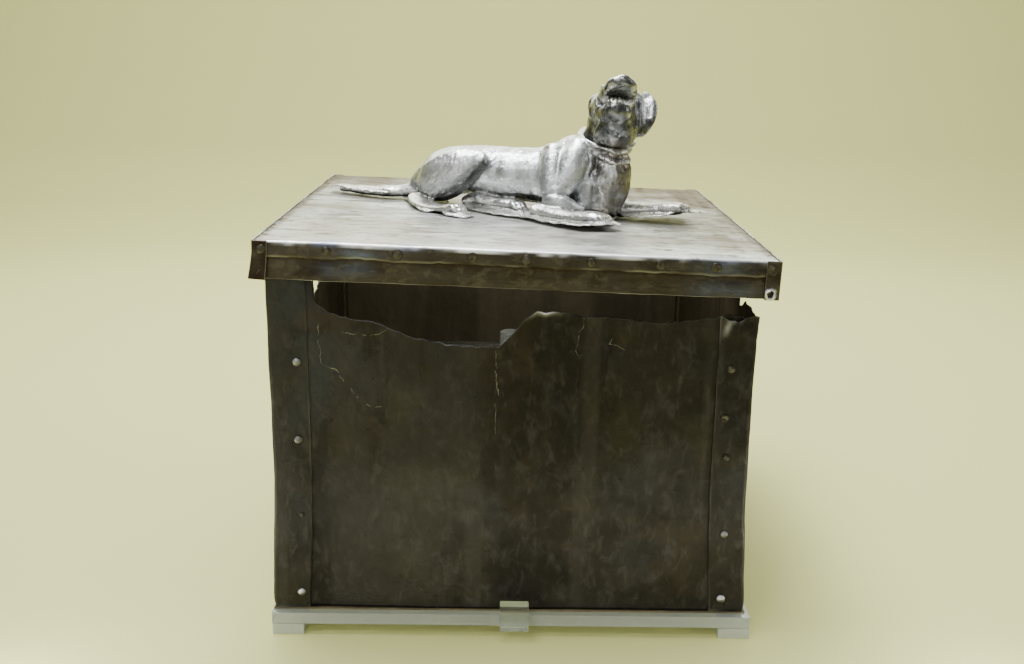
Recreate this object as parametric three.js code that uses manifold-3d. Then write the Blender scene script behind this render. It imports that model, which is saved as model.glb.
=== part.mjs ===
// A square casket of beaten silver sheet with a lift-off lid, a recumbent dog on the lid, and the
// clear stand that carries it. Millimetres, +Z up. The origin is on the ground, in the middle of the
// lid's plan, and the open, broken side of the casket faces -Y.
import * as THREE from 'three';
import { mergeVertices } from 'three/addons/utils/BufferGeometryUtils.js';
import Module from 'manifold-3d';

const wasm = await Module();
wasm.setup();

// Driving dimensions.
const SHEET = 1.2; // thickness of the silver sheet
const GAP = 0.3; // daylight between neighbouring pieces
const FOOT = { side: 27, height: 9.7 };
const PLATE = { width: 405, depth: 412, bottom: 10, top: 20, centreX: -1 };
const CLIP = { width: 24, depth: 10, bottom: 10.5, top: 33.8, x: 1.3 };
const BODY = { x: -2.5, width: 390, depth: 398, strap: 31, fold: 2.5, flare: 5.3, flareHeight: 130 };
const BASE = PLATE.top + GAP; // underside of the casket's floor
const LID = { width: 412, depth: 411.6, top: 333, skirt: 31, lip: 13, tab: 12, tilt: THREE.MathUtils.degToRad(1.73) };
const RIVET = { head: 3.4, height: 1.8, shank: 1.7, sides: 8, drop: 7 };
const BAR = { length: 340, depth: 26, thick: 10, top: 199.5 };
const POST = { radius: 11.2, top: 213, x: -3.1 };
const LID_X = RIVET.drop * Math.sin(LID.tilt); // keeps the tilted lid's plan centred on the origin

const MATERIALS = {
  body: new THREE.MeshStandardMaterial({ color: 0x45413a, roughness: 0.5, metalness: 0.9 }),
  lid: new THREE.MeshStandardMaterial({ color: 0xa9a79c, roughness: 0.45, metalness: 0.9 }),
  rivet: new THREE.MeshStandardMaterial({ color: 0x8c8a84, roughness: 0.4, metalness: 1 }),
  dog: new THREE.MeshStandardMaterial({ color: 0xb9bbbb, roughness: 0.35, metalness: 1 }),
  acrylic: new THREE.MeshStandardMaterial({
    color: 0xe6efe6, roughness: 0.05, metalness: 0, transparent: true, opacity: 0.35,
  }),
};

const part = new THREE.Group();
const lid = new THREE.Group();
const dog = new THREE.Group();
lid.position.set(LID_X, 0, LID.top);
lid.rotation.y = LID.tilt;
dog.position.z = GAP;
lid.add(dog);
part.add(lid);

function addPiece(parent, name, geometry, material) {
  const piece = new THREE.Mesh(geometry, material);
  piece.name = name;
  parent.add(piece);
  return piece;
}

// Joining and cutting closed meshes.

function toSolid(geometry) {
  const bare = geometry.clone();
  bare.deleteAttribute('normal');
  bare.deleteAttribute('uv');
  const merged = mergeVertices(bare, 1e-4);
  const vertProperties = new Float32Array(merged.attributes.position.array);
  const triVerts = new Uint32Array(merged.index.array);
  return new wasm.Manifold(new wasm.Mesh({ numProp: 3, vertProperties, triVerts }));
}

function toGeometry(solid) {
  const { vertProperties, triVerts } = solid.getMesh();
  const geometry = new THREE.BufferGeometry();
  geometry.setAttribute('position', new THREE.BufferAttribute(new Float32Array(vertProperties), 3));
  geometry.setIndex(new THREE.BufferAttribute(new Uint32Array(triVerts), 1));
  geometry.computeVertexNormals();
  return geometry;
}

function cut(geometry, tools) {
  return toGeometry(tools.reduce((rest, tool) => rest.subtract(toSolid(tool)), toSolid(geometry)));
}

function join(geometries) {
  return toGeometry(geometries.map(toSolid).reduce((whole, next) => whole.add(next)));
}

function block(low, high) {
  const size = high.map((value, axis) => value - low[axis]);
  const geometry = new THREE.BoxGeometry(...size);
  return geometry.translate(...low.map((value, axis) => value + size[axis] / 2));
}

// A sheet standing on edge. Each station is a point of its plan line with the line's outward normal
// and the height of the sheet's top there; levels are the heights of the rows below the top.
function standingSheet(stations, levels, spread = () => 0) {
  const columns = stations.length - 1;
  const geometry = new THREE.BoxGeometry(1, 1, 1, columns, levels.length, 1);
  const position = geometry.attributes.position;
  for (let i = 0; i < position.count; i += 1) {
    const station = stations[Math.round((position.getX(i) + 0.5) * columns)];
    const row = Math.round((position.getY(i) + 0.5) * levels.length);
    const z = row < levels.length ? levels[row] : station.top;
    const inward = position.getZ(i) > 0 ? 0 : SHEET;
    const x = station.x - station.nx * inward + spread(z);
    position.setXYZ(i, x, station.y - station.ny * inward, z);
  }
  return geometry;
}

// Stations along a channel in plan: a flange across the front, a wall running back, and a flange
// across the back. It is folded for the +X side; side -1 mirrors it. topAt(x, y) gives the heights.
function channelStations(side, centre, halfWidth, halfDepth, flange, fold, distances, topAt) {
  const plan = new THREE.Path();
  plan.moveTo(halfWidth - flange, -halfDepth);
  plan.lineTo(halfWidth - fold, -halfDepth);
  plan.absarc(halfWidth - fold, -halfDepth + fold, fold, -Math.PI / 2, 0, false);
  plan.lineTo(halfWidth, halfDepth - fold);
  plan.absarc(halfWidth - fold, halfDepth - fold, fold, 0, Math.PI / 2, false);
  plan.lineTo(halfWidth - flange, halfDepth);
  const length = plan.getLength();
  const arc = fold * Math.PI / 2;
  const front = [0, 0.5, 1].map((share) => flange - fold + arc * share);
  const back = front.map((distance) => length - distance);
  const along = [...new Set([0, length, ...front, ...back, ...distances])].sort((a, b) => a - b);
  const stations = along.map((distance) => {
    const point = plan.getPoint(distance / length);
    const tangent = plan.getTangent(distance / length);
    const x = centre + side * point.x;
    return { x, y: point.y, nx: side * tangent.y, ny: -tangent.x, top: topAt(x, point.y, distance) };
  });
  return side > 0 ? stations : stations.reverse();
}

// Height of an outline of [place, height] pairs at a place; null stands for the height under the lid.
function outlineHeight(outline, place, full) {
  const heightOf = ([, height]) => (height === null ? full : BASE + height);
  const after = outline.findIndex(([at]) => at >= place - 1e-6);
  if (after === -1) return full;
  if (after === 0 || Math.abs(outline[after][0] - place) < 1e-6) return heightOf(outline[after]);
  const [before, next] = [outline[after - 1], outline[after]];
  const share = (place - before[0]) / (next[0] - before[0]);
  return heightOf(before) + share * (heightOf(next) - heightOf(before));
}

// A straight round rod along Y that drills a rivet hole, centred on a point.
function drill(x, y, z, radius = RIVET.shank + GAP, length = 12) {
  return new THREE.CylinderGeometry(radius, radius, length, RIVET.sides).translate(x, y, z);
}

function sideDrill(x, y, z) {
  return drill(0, 0, 0).rotateZ(Math.PI / 2).translate(x, y, z);
}

// A domed rivet, its head towards +Y and its shank reaching back through `grip` of sheet.
function rivetGeometry(grip) {
  const profile = [
    [0, -grip], [RIVET.shank, -grip], [RIVET.shank, GAP], [RIVET.head, GAP],
    [RIVET.head * 0.72, GAP + RIVET.height * 0.75], [0, GAP + RIVET.height],
  ];
  return new THREE.LatheGeometry(profile.map(([r, y]) => new THREE.Vector2(r, y)), RIVET.sides);
}

const FACING = {
  front: { rotation: [Math.PI, 0, 0] },
  back: { rotation: [0, 0, 0] },
  left: { rotation: [0, 0, Math.PI / 2] },
  right: { rotation: [0, 0, -Math.PI / 2] },
};

function addRivets(parent, name, places, facing, grip) {
  places.forEach(([x, y, z], index) => {
    const rivet = addPiece(parent, `${name}_${index + 1}`, rivetGeometry(grip), MATERIALS.rivet);
    rivet.position.set(x, y, z);
    rivet.rotation.set(...FACING[facing].rotation);
  });
}

// The clear stand: four feet, a plate, a clip before and behind the casket's bottom edge.

function addStand() {
  const inset = FOOT.side / 2;
  const footX = PLATE.width / 2 - inset;
  const footY = PLATE.depth / 2 - inset;
  [[-1, -1], [1, -1], [-1, 1], [1, 1]].forEach(([sx, sy], index) => {
    const foot = new THREE.BoxGeometry(FOOT.side, FOOT.side, FOOT.height);
    const piece = addPiece(part, `stand_foot_${index + 1}`, foot, MATERIALS.acrylic);
    piece.position.set(PLATE.centreX + sx * footX, sy * footY, FOOT.height / 2);
  });
  const plate = new THREE.BoxGeometry(PLATE.width, PLATE.depth, PLATE.top - PLATE.bottom);
  const middle = (PLATE.top + PLATE.bottom) / 2;
  addPiece(part, 'stand_plate', plate, MATERIALS.acrylic).position.set(PLATE.centreX, 0, middle);
  [['front', -1], ['back', 1]].forEach(([name, side]) => {
    const clip = new THREE.BoxGeometry(CLIP.width, CLIP.depth, CLIP.top - CLIP.bottom);
    const piece = addPiece(part, `stand_clip_${name}`, clip, MATERIALS.acrylic);
    const y = side * (PLATE.depth / 2 + GAP + CLIP.depth / 2);
    piece.position.set(CLIP.x, y, (CLIP.top + CLIP.bottom) / 2);
  });
}

// A clear post inside the casket carries a clear bar crosswise.

function addInnerSupport() {
  const bottom = BASE + SHEET + GAP;
  const post = new THREE.CylinderGeometry(POST.radius, POST.radius, POST.top - bottom, 24);
  post.rotateX(Math.PI / 2).translate(POST.x, 0, (POST.top + bottom) / 2);
  addPiece(part, 'inner_post', post, MATERIALS.acrylic);
  const halfLength = BAR.length / 2;
  const bar = block(
    [BODY.x - halfLength, -BAR.depth / 2, BAR.top - BAR.thick],
    [BODY.x + halfLength, BAR.depth / 2, BAR.top],
  );
  const hole = new THREE.CylinderGeometry(POST.radius + GAP, POST.radius + GAP, 3 * BAR.thick, 24);
  hole.rotateX(Math.PI / 2).translate(POST.x, 0, BAR.top);
  addPiece(part, 'inner_bar', cut(bar, [hole]), MATERIALS.acrylic);
}

// The casket: a floor, two side sheets folded round all four corners, and a front and a back panel
// that stand inside the folds and are riveted to them.

const WALL_BOTTOM = BASE + SHEET + GAP;
const WALL_LEVELS = [0, 0.22, 0.5, 1].map((share) => WALL_BOTTOM + share * (BODY.flareHeight - 2));
const STRAP_FACE = BODY.depth / 2;
const PANEL_FACE = STRAP_FACE - SHEET - GAP;

// The sides lean out towards the foot.
function flareAt(z) {
  const share = Math.max(0, 1 - (z - WALL_BOTTOM) / BODY.flareHeight);
  return BODY.flare * share ** 1.6;
}

// The underside of the lid's top sheet, which the walls stop just below.
function underLid(x) {
  return LID.top - (x - LID_X) * Math.tan(LID.tilt) - SHEET / Math.cos(LID.tilt) - GAP;
}

// Torn top edges, as [place, height above the casket's foot]. On the side sheets the place is the
// distance from the front flange's free edge; on the front panel it is the distance from the middle.
const RIGHT_TEAR = [
  [0, 261], [7, 258], [15, 256], [22, 260], [28.5, 261.5], [35, 258.5], [47, 260], [61, 261], [71, 260],
  [80, 260.5], [92, 255], [98, 252.7], [103, 257], [104.5, null], [130, null], [132, 243], [134, null],
  [171, null], [173, 235], [175.5, null], [187, null], [189, 233], [191, null],
];
const LEFT_TEAR = [
  [0, null], [222, null], [233.5, 220], [239, 226], [251, 228], [272, 230], [274, null],
];
const FRONT_TEAR = [
  [-192, null], [-163, null], [-157.8, 270.4], [-154, 265.6], [-144.8, 260], [-133, 255.6], [-109.4, 252.3],
  [-96.8, 246.7], [-82, 240.3], [-70, 237.6], [-54, 234.6], [-34, 233], [-11, 233], [-4.8, 238.8],
  [5.4, 250.4], [13.2, 259.5], [18.6, 263.2], [36.8, 263.8], [48.7, 261.5], [55, 258.8], [84.4, 257.9],
  [108.3, 254.5], [132, 255.2], [147.7, 257.4], [163.4, 259.7], [169.6, 262], [190, 258],
];

// Rivet places on the casket, as [distance from the middle, height above the foot].
const FRONT_RIVETS = [
  [-172.8, 219], [-173.8, 153], [-173, 87], [-176, 16],
  [175.2, 217], [172.5, 175.6], [175.7, 141.5], [178.2, 73], [179, 13.6],
];
const BACK_RIVETS = [-175, 175].flatMap((x) => [16, 130, 244].map((z) => [x, z]));

function addSideSheet(name, side, tear, holes) {
  const halfDepth = STRAP_FACE;
  const topAt = (x, y, distance) => outlineHeight(tear, distance, underLid(x));
  const places = tear.map(([place]) => place);
  const stations = channelStations(
    side, BODY.x, BODY.width / 2, halfDepth, BODY.strap, BODY.fold, places, topAt,
  );
  const sheet = standingSheet(stations, WALL_LEVELS, (z) => side * flareAt(z));
  addPiece(part, name, cut(sheet, holes), MATERIALS.body);
}

function addPanel(name, facing, outline, holes) {
  const y = facing * PANEL_FACE;
  const stations = outline.map(([place]) => {
    const x = BODY.x + place;
    return { x, y, nx: 0, ny: facing, top: outlineHeight(outline, place, underLid(x)) };
  });
  const sheet = standingSheet(facing < 0 ? stations : stations.reverse(), WALL_LEVELS.slice(0, 1));
  addPiece(part, name, cut(sheet, holes), MATERIALS.body);
}

function addCasket() {
  const halfFloor = [BODY.width / 2 + BODY.flare, BODY.depth / 2];
  const floor = block(
    [BODY.x - halfFloor[0], -halfFloor[1], BASE],
    [BODY.x + halfFloor[0], halfFloor[1], BASE + SHEET],
  );
  addPiece(part, 'floor_sheet', floor, MATERIALS.body);
  const placed = (places, y) => places.map(([x, z]) => [BODY.x + x, y, BASE + z]);
  const front = placed(FRONT_RIVETS, -STRAP_FACE);
  const back = placed(BACK_RIVETS, STRAP_FACE);
  const holesOn = (test) => [...front, ...back].filter(test).map((place) => drill(...place));
  addSideSheet('left_side', -1, LEFT_TEAR, holesOn(([x]) => x < 0));
  addSideSheet('right_side', 1, RIGHT_TEAR, holesOn(([x]) => x > 0));
  addPanel('front_panel', -1, FRONT_TEAR, holesOn(([, y]) => y < 0));
  addPanel('back_panel', 1, [[-190, null], [190, null]], holesOn(([, y]) => y > 0));
  const grip = 2 * SHEET + 2 * GAP;
  addRivets(part, 'casket_front_rivet', front, 'front', grip);
  addRivets(part, 'casket_back_rivet', back, 'back', grip);
}

// The lid: a top sheet with a shallow lip all round, a deeper rim strip behind the lip on the front
// and the back, and rims on the sides whose ends are folded round the corners.

const TAB_FACE = LID.depth / 2;
const LIP_FACE = TAB_FACE - SHEET - GAP;
const RIM_FACE = LIP_FACE - SHEET - GAP;
const LIP_SIDE = LID.width / 2 - SHEET - GAP;
const LID_FRONT_RIVETS = [-148, -93, -35, 7, 57.5, 111, 155];
const LID_BACK_RIVETS = [-140, -70, 0, 70, 140];
const LID_SIDE_RIVETS = [-120, 0, 120];
const TAB_RIVET = { x: 198.4, low: 26.3 };
const TORN_HOLE = 3.2; // radius of the hole where the last corner rivet pulled out

function addLidSheet(holes) {
  const outer = block([-LIP_SIDE, -LIP_FACE, -LID.lip], [LIP_SIDE, LIP_FACE, 0]);
  const inner = block(
    [-LIP_SIDE + SHEET, -LIP_FACE + SHEET, -2 * LID.lip],
    [LIP_SIDE - SHEET, LIP_FACE - SHEET, -SHEET],
  );
  addPiece(lid, 'lid_sheet', cut(outer, [inner, ...holes]), MATERIALS.lid);
}

function addLidRims(holes) {
  const end = LIP_SIDE - SHEET - GAP;
  const top = -SHEET - GAP;
  [['front', -1], ['back', 1]].forEach(([name, side]) => {
    const faces = [side * RIM_FACE, side * (RIM_FACE - SHEET)].sort((a, b) => a - b);
    const strip = block([-end, faces[0], -LID.skirt], [end, faces[1], top]);
    addPiece(lid, `lid_rim_${name}`, cut(strip, holes), MATERIALS.lid);
  });
  [['left', -1], ['right', 1]].forEach(([name, side]) => {
    const stations = channelStations(side, 0, LID.width / 2, TAB_FACE, LID.tab, 1.6, [], () => 0);
    const rim = standingSheet(stations, [-LID.skirt]);
    addPiece(lid, `lid_rim_${name}`, cut(rim, holes), MATERIALS.lid);
  });
}

function addLid() {
  const row = (places, y) => places.map((x) => [x, y, -RIVET.drop]);
  const frontRow = row(LID_FRONT_RIVETS, -LIP_FACE);
  const backRow = row(LID_BACK_RIVETS, LIP_FACE);
  const tabs = [-1, 1].map((side) => [side * TAB_RIVET.x, -TAB_FACE, -RIVET.drop]);
  tabs.push([-TAB_RIVET.x, -TAB_FACE, -TAB_RIVET.low]);
  const backTabs = [-1, 1].map((side) => [side * TAB_RIVET.x, TAB_FACE, -TAB_RIVET.low]);
  const sideRow = (side) => LID_SIDE_RIVETS.map((y) => [side * LID.width / 2, y, -RIVET.drop]);
  const along = [...frontRow, ...backRow, ...tabs, ...backTabs].map((place) => drill(...place));
  const across = [...sideRow(-1), ...sideRow(1)].map((place) => sideDrill(...place));
  const torn = drill(TAB_RIVET.x, -TAB_FACE, -TAB_RIVET.low, TORN_HOLE, 4);
  addLidSheet([...along, ...across]);
  addLidRims([...along, ...across, torn]);
  addRivets(lid, 'lid_front_rivet', frontRow, 'front', 2 * SHEET + 2 * GAP);
  addRivets(lid, 'lid_front_corner_rivet', tabs, 'front', 3 * SHEET + 3 * GAP);
  addRivets(lid, 'lid_back_rivet', backRow, 'back', 2 * SHEET + 2 * GAP);
  addRivets(lid, 'lid_back_corner_rivet', backTabs, 'back', 3 * SHEET + 3 * GAP);
  addRivets(lid, 'lid_left_rivet', sideRow(-1), 'left', 2 * SHEET + 2 * GAP);
  addRivets(lid, 'lid_right_rivet', sideRow(1), 'right', 2 * SHEET + 2 * GAP);
}

// The dog lies along X with its head at +X, raised towards the front. Each limb is a run of
// elliptical sections [x, y, z, half-breadth, half-height] along a line, with the height measured
// towards `facing`.

const UP = new THREE.Vector3(0, 0, 1);
const FRONT = new THREE.Vector3(0, -1, 0);

function limb(sections, sides = 10, facing = UP) {
  const last = sections.length - 1;
  const geometry = new THREE.CylinderGeometry(1, 1, 1, sides, last);
  const centres = sections.map(([x, y, z]) => new THREE.Vector3(x, y, z));
  const position = geometry.attributes.position;
  for (let i = 0; i < position.count; i += 1) {
    const row = Math.round((0.5 - position.getY(i)) * last);
    const ahead = centres[Math.min(row + 1, last)];
    const tangent = ahead.clone().sub(centres[Math.max(row - 1, 0)]).normalize();
    const across = new THREE.Vector3().crossVectors(tangent, facing).normalize();
    const upward = new THREE.Vector3().crossVectors(across, tangent);
    const [, , , breadth, height] = sections[row];
    const point = centres[row].clone();
    point.addScaledVector(across, position.getX(i) * breadth);
    point.addScaledVector(upward, -position.getZ(i) * height);
    position.setXYZ(i, point.x, point.y, point.z);
  }
  return geometry;
}

// Sheet left flat round the legs: an outline in plan, bent up slightly towards its far end.
function apron(outline, liftAt) {
  const shape = new THREE.Shape(outline.map(([x, y]) => new THREE.Vector2(x, y)));
  const geometry = new THREE.ExtrudeGeometry(shape, { depth: SHEET, bevelEnabled: false });
  const position = geometry.attributes.position;
  for (let i = 0; i < position.count; i += 1) {
    position.setZ(i, position.getZ(i) + liftAt(position.getX(i)));
  }
  return geometry;
}

const DOG_TRUNK = [
  [-97, 42, 14, 12, 10], [-88, 40, 20, 18, 15], [-76, 36, 26, 25, 21], [-62, 30, 31, 28, 23.5],
  [-40, 22, 34, 27, 23], [-12, 13, 33, 27, 25], [14, 5, 33, 28, 26], [36, -2, 34, 28, 31],
  [54, -7, 37, 27, 36], [82, -12.5, 38, 24, 35], [94, -15, 37, 15, 29], [101, -16, 37, 6, 20],
];
const DOG_NECK = [[64, -8, 44, 27, 28], [72, -11, 58, 26, 26], [79, -14.5, 69, 25, 24.5], [84, -18.5, 80, 24, 23]];
const DOG_BREAST = [[84, -30, 62, 15, 10], [85, -35, 48, 18, 13], [82, -36, 28, 19.5, 13], [77, -35, 8, 17, 10]];
const DOG_SHOULDER = [[54, -20, 64, 12, 12], [53, -27, 54, 16, 15], [44, -34, 36, 15, 14], [28, -41, 16, 9, 10]];
const DOG_ELBOW = [[24, -43, 15, 5, 5], [34, -46.5, 16.5, 9, 8], [46, -48, 14.5, 8.5, 7], [60, -47, 10, 3.5, 3]];
const DOG_THIGH = [[-88, 15, 18, 10, 14], [-78, 8, 23, 15, 21], [-56, -2, 36, 14, 20], [-32, -11, 47, 7, 8]];
const DOG_HIND_FOOT = [[-96, 14, 6, 9, 5], [-88, -8, 4, 12, 4], [-72, -30, 3, 11, 4], [-54, -50, 4, 9, 4.5]];
const DOG_FAR_HIND_FOOT = [[-50, 6, 5, 6, 4.6], [-35, 0, 7.5, 7.5, 6], [-17, -8, 6.5, 8, 5.4], [4, -26, 6, 8, 5.4]];
const DOG_NEAR_FOREARM = [[18, -41, 6, 10, 7.5], [38, -57, 5.5, 12, 6.2], [60, -76, 7, 11.5, 6], [80, -92, 8, 9, 5]];
const DOG_FAR_FOREARM = [[84, -18, 8, 10, 9], [104, -25, 8, 10, 7], [132, -35, 11.5, 9.5, 6], [157, -43, 14, 9, 5.5]];
const DOG_TAIL = [[-98, 40, 11, 9, 7], [-116, 43, 7.5, 9, 6], [-146, 53, 5, 8, 4.5], [-176, 71, 3, 4, 2.5]];
const NEAR_APRON = [
  [-58, 14], [-40, -20], [-4, -42], [36, -84], [62, -102], [80, -106], [88, -92], [62, -62], [30, -30], [-20, 16],
];
const FAR_APRON = [[78, -30], [112, -40], [146, -54], [166, -54], [172, -42], [150, -26], [112, -12], [80, 0]];
const HIND_APRON = [[-108, 30], [-102, -4], [-86, -36], [-62, -56], [-44, -58], [-40, -46], [-56, -24], [-70, 14]];

// The head's own rows are [across, forward, up, half-breadth, half-height] from the middle of the
// skull, which is thrown back and turned a little to the side.
const HEAD_FORWARD = new THREE.Vector3(0.119, -0.849, 0.515).normalize();
const HEAD_ACROSS = new THREE.Vector3(-0.99, -0.139, 0).normalize();
const HEAD_POSE = new THREE.Matrix4()
  .makeBasis(HEAD_ACROSS, HEAD_FORWARD, new THREE.Vector3().crossVectors(HEAD_ACROSS, HEAD_FORWARD))
  .multiply(new THREE.Matrix4().makeRotationY(THREE.MathUtils.degToRad(-8)))
  .setPosition(82, -22, 100);
const DOG_SKULL = [[-2, -24, -3, 12, 12], [-2, -14, -2, 18.5, 17], [-1, 10, -1, 19, 16], [0, 24, 0, 14, 10]];
const DOG_MUZZLE = [[0, 8, 1, 18.5, 12.5], [0, 32, 1.2, 15, 8.8], [0, 44, 1.5, 12, 6], [0, 49, 2, 8, 4]];
const DOG_JAW = [[0, -6, -9, 19, 12], [0, 18, -16, 15.5, 11.5], [0, 34, -20, 12, 8.4], [0, 38.5, -20.5, 8, 5.5]];
const DOG_MOUTH = [[0, 20, -4.8, 8.5, 1.6], [0, 36, -6.2, 12.2, 4.6], [0, 62, -8.6, 15, 10]];
const DOG_THROAT = [[76, -14, 62, 23, 23], [82, -17, 74, 23, 23], [85, -20, 86, 24, 23.5], [86, -23, 98, 22, 20]];
const DOG_GULLET = [[87, -55, 96, 11, 7.5], [86, -50, 88, 14, 8.5], [84, -43, 80, 17, 8.5], [83, -38, 70, 18, 8]];
const DOG_JOWL = [[101, -8, 112, 7, 7], [107, -14, 97, 8, 9], [107.5, -19, 76, 7, 10]];
const DOG_EARS = [
  [[113, -8, 115, 3, 1.6], [117, -14, 106, 6.2, 2.3], [117.6, -20, 94, 6.2, 2.4], [113, -24, 77, 2, 1.8]],
  [[70, -20, 110, 3, 2.6], [64.5, -27, 103, 4.8, 3.2], [65.5, -29, 95, 3.8, 3], [67.5, -29, 89, 2.2, 2]],
];

// A shaving plane above the neck or below the head, so that the head sits in the collar with a gap.
const COLLAR = new THREE.Vector3(82, -17, 73.4);

function collarPlane(above, margin) {
  const half = 120;
  const slab = new THREE.BoxGeometry(half, half, half).translate(0, 0, above * (half / 2 + margin));
  slab.rotateY(THREE.MathUtils.degToRad(5.8)).rotateX(THREE.MathUtils.degToRad(19.3));
  return slab.translate(COLLAR.x, COLLAR.y, COLLAR.z);
}

function addDog() {
  const lift = (start, span, rise) => (x) => rise * THREE.MathUtils.clamp((x - start) / span, 0, 1) ** 2;
  const aprons = [
    apron(NEAR_APRON, lift(20, 65, 5)),
    apron(FAR_APRON, lift(84, 80, 8)),
    apron(HIND_APRON, () => 0),
  ];
  const limbs = [
    limb(DOG_TRUNK, 14), limb(DOG_NECK, 14, FRONT), limb(DOG_BREAST, 10, FRONT), limb(DOG_SHOULDER, 10, FRONT),
    limb(DOG_ELBOW, 8), limb(DOG_THIGH), limb(DOG_HIND_FOOT, 8), limb(DOG_FAR_HIND_FOOT, 8),
    limb(DOG_NEAR_FOREARM, 8), limb(DOG_FAR_FOREARM, 8), limb(DOG_TAIL, 8),
  ];
  const ground = block([-300, -300, -200], [300, 300, 0]);
  addPiece(dog, 'dog_body', cut(join([...limbs, ...aprons]), [ground, collarPlane(1, 0)]), MATERIALS.dog);
  const posed = (rows, sides) => limb(rows, sides).applyMatrix4(HEAD_POSE);
  const head = join([
    posed(DOG_SKULL, 12), posed(DOG_MUZZLE, 12), posed(DOG_JAW, 12), limb(DOG_THROAT, 12, FRONT),
    limb(DOG_GULLET, 8, FRONT), limb(DOG_JOWL, 8, FRONT), ...DOG_EARS.map((ear) => limb(ear, 8, FRONT)),
  ]);
  addPiece(dog, 'dog_head', cut(head, [collarPlane(-1, -1), posed(DOG_MOUTH, 10)]), MATERIALS.dog);
}

addStand();
addInnerSupport();
addCasket();
addLid();
addDog();

export default part;
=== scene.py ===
import math
import random

import bmesh
import bpy
import numpy as np
from mathutils import Matrix, Vector, noise
from mathutils.bvhtree import BVHTree


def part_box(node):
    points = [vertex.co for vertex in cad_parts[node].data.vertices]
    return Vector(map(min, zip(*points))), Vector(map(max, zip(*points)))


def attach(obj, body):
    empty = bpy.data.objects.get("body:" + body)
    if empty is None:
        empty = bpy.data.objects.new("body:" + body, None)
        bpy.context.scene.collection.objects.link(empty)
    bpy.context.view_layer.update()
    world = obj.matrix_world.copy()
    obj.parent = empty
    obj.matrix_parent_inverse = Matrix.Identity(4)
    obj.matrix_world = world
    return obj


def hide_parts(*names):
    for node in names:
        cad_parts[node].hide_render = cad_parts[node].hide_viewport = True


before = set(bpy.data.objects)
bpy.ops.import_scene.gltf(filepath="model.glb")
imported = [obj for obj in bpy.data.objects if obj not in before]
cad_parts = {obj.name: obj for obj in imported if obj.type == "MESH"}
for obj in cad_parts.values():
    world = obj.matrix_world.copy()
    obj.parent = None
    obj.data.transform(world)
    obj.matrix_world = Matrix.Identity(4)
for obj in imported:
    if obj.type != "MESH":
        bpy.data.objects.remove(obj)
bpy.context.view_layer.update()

MM = 0.001

# ---------------------------------------------------------------------------------------------
# Clear stand. Four square feet, a plate and two clips, sawn from 10 mm clear acrylic sheet and
# polished, so the broken casket stands on it without being touched anywhere else.

ACRYLIC_TINT = (0.90, 0.95, 0.86, 1.0)


def add_node(tree, kind, inputs=None, **settings):
    node = tree.nodes.new(kind)
    for key, value in settings.items():
        setattr(node, key, value)
    for key, value in (inputs or {}).items():
        if isinstance(value, bpy.types.NodeSocket):
            tree.links.new(value, node.inputs[key])
        else:
            node.inputs[key].default_value = value
    return node


def math_node(tree, operation, *values, **settings):
    inputs = dict(enumerate(values))
    return add_node(tree, "ShaderNodeMath", inputs, operation=operation, **settings).outputs[0]


def new_material(name, **shader):
    material = bpy.data.materials.new(name)
    material.use_nodes = True
    tree = material.node_tree
    tree.nodes.clear()
    surface = add_node(tree, "ShaderNodeBsdfPrincipled", shader)
    add_node(tree, "ShaderNodeOutputMaterial", {"Surface": surface.outputs[0]})
    return material, tree, surface


def finish_piece(piece, materials, slot, *nodes):
    piece.data.materials.clear()
    for material in materials if isinstance(materials, list) else [materials]:
        piece.data.materials.append(material)
    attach(piece, "root")
    if nodes:
        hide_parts(*nodes)
    return piece


def piece_from(bm, name, smooth=True):
    mesh = bpy.data.meshes.new(name)
    bm.to_mesh(mesh)
    bm.free()
    mesh.polygons.foreach_set("use_smooth", [smooth] * len(mesh.polygons))
    piece = bpy.data.objects.new(name, mesh)
    bpy.context.scene.collection.objects.link(piece)
    return piece


def shown_mesh(piece):
    """A piece's mesh as its modifiers leave it."""
    bpy.context.view_layer.update()
    return bpy.data.meshes.new_from_object(piece.evaluated_get(bpy.context.evaluated_depsgraph_get()))


def carved(piece, cutter):
    """A piece's mesh with a second piece cut out of it, which is used up."""
    hole = piece.modifiers.new("hole", "BOOLEAN")
    hole.operation = "DIFFERENCE"
    hole.object = cutter
    mesh = shown_mesh(piece)
    piece.modifiers.clear()
    bpy.data.objects.remove(cutter)
    return mesh


def polished_block(node, bevel):
    low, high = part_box(node)
    bm = bmesh.new()
    bmesh.ops.create_cube(bm, size=1.0)
    bmesh.ops.scale(bm, vec=high - low, verts=bm.verts)
    bmesh.ops.translate(bm, vec=(low + high) / 2, verts=bm.verts)
    bmesh.ops.bevel(
        bm, geom=bm.edges, offset=bevel, affect="EDGES", segments=2, profile=0.5, material=-1
    )
    return piece_from(bm, node + "_clear", smooth=False)


acrylic, acrylic_tree, acrylic_shader = new_material(
    "clear acrylic",
    **{"Base Color": ACRYLIC_TINT, "Metallic": 0.0, "IOR": 1.4, "Transmission Weight": 0.75},
)
acrylic_object = add_node(acrylic_tree, "ShaderNodeTexCoord").outputs["Object"]
smear = add_node(acrylic_tree, "ShaderNodeTexNoise", {"Vector": acrylic_object, "Scale": 60.0})
smear_range = add_node(
    acrylic_tree, "ShaderNodeMapRange", {"Value": smear.outputs[0], "To Min": 0.02, "To Max": 0.09}
)
acrylic_tree.links.new(smear_range.outputs[0], acrylic_shader.inputs["Roughness"])


def plain_acrylic(name, tint, roughness, clearness, bend=1.5):
    shader = {"Base Color": (*tint, 1.0), "Roughness": roughness, "Transmission Weight": clearness}
    return new_material(name, IOR=bend, **shader)[0]


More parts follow.
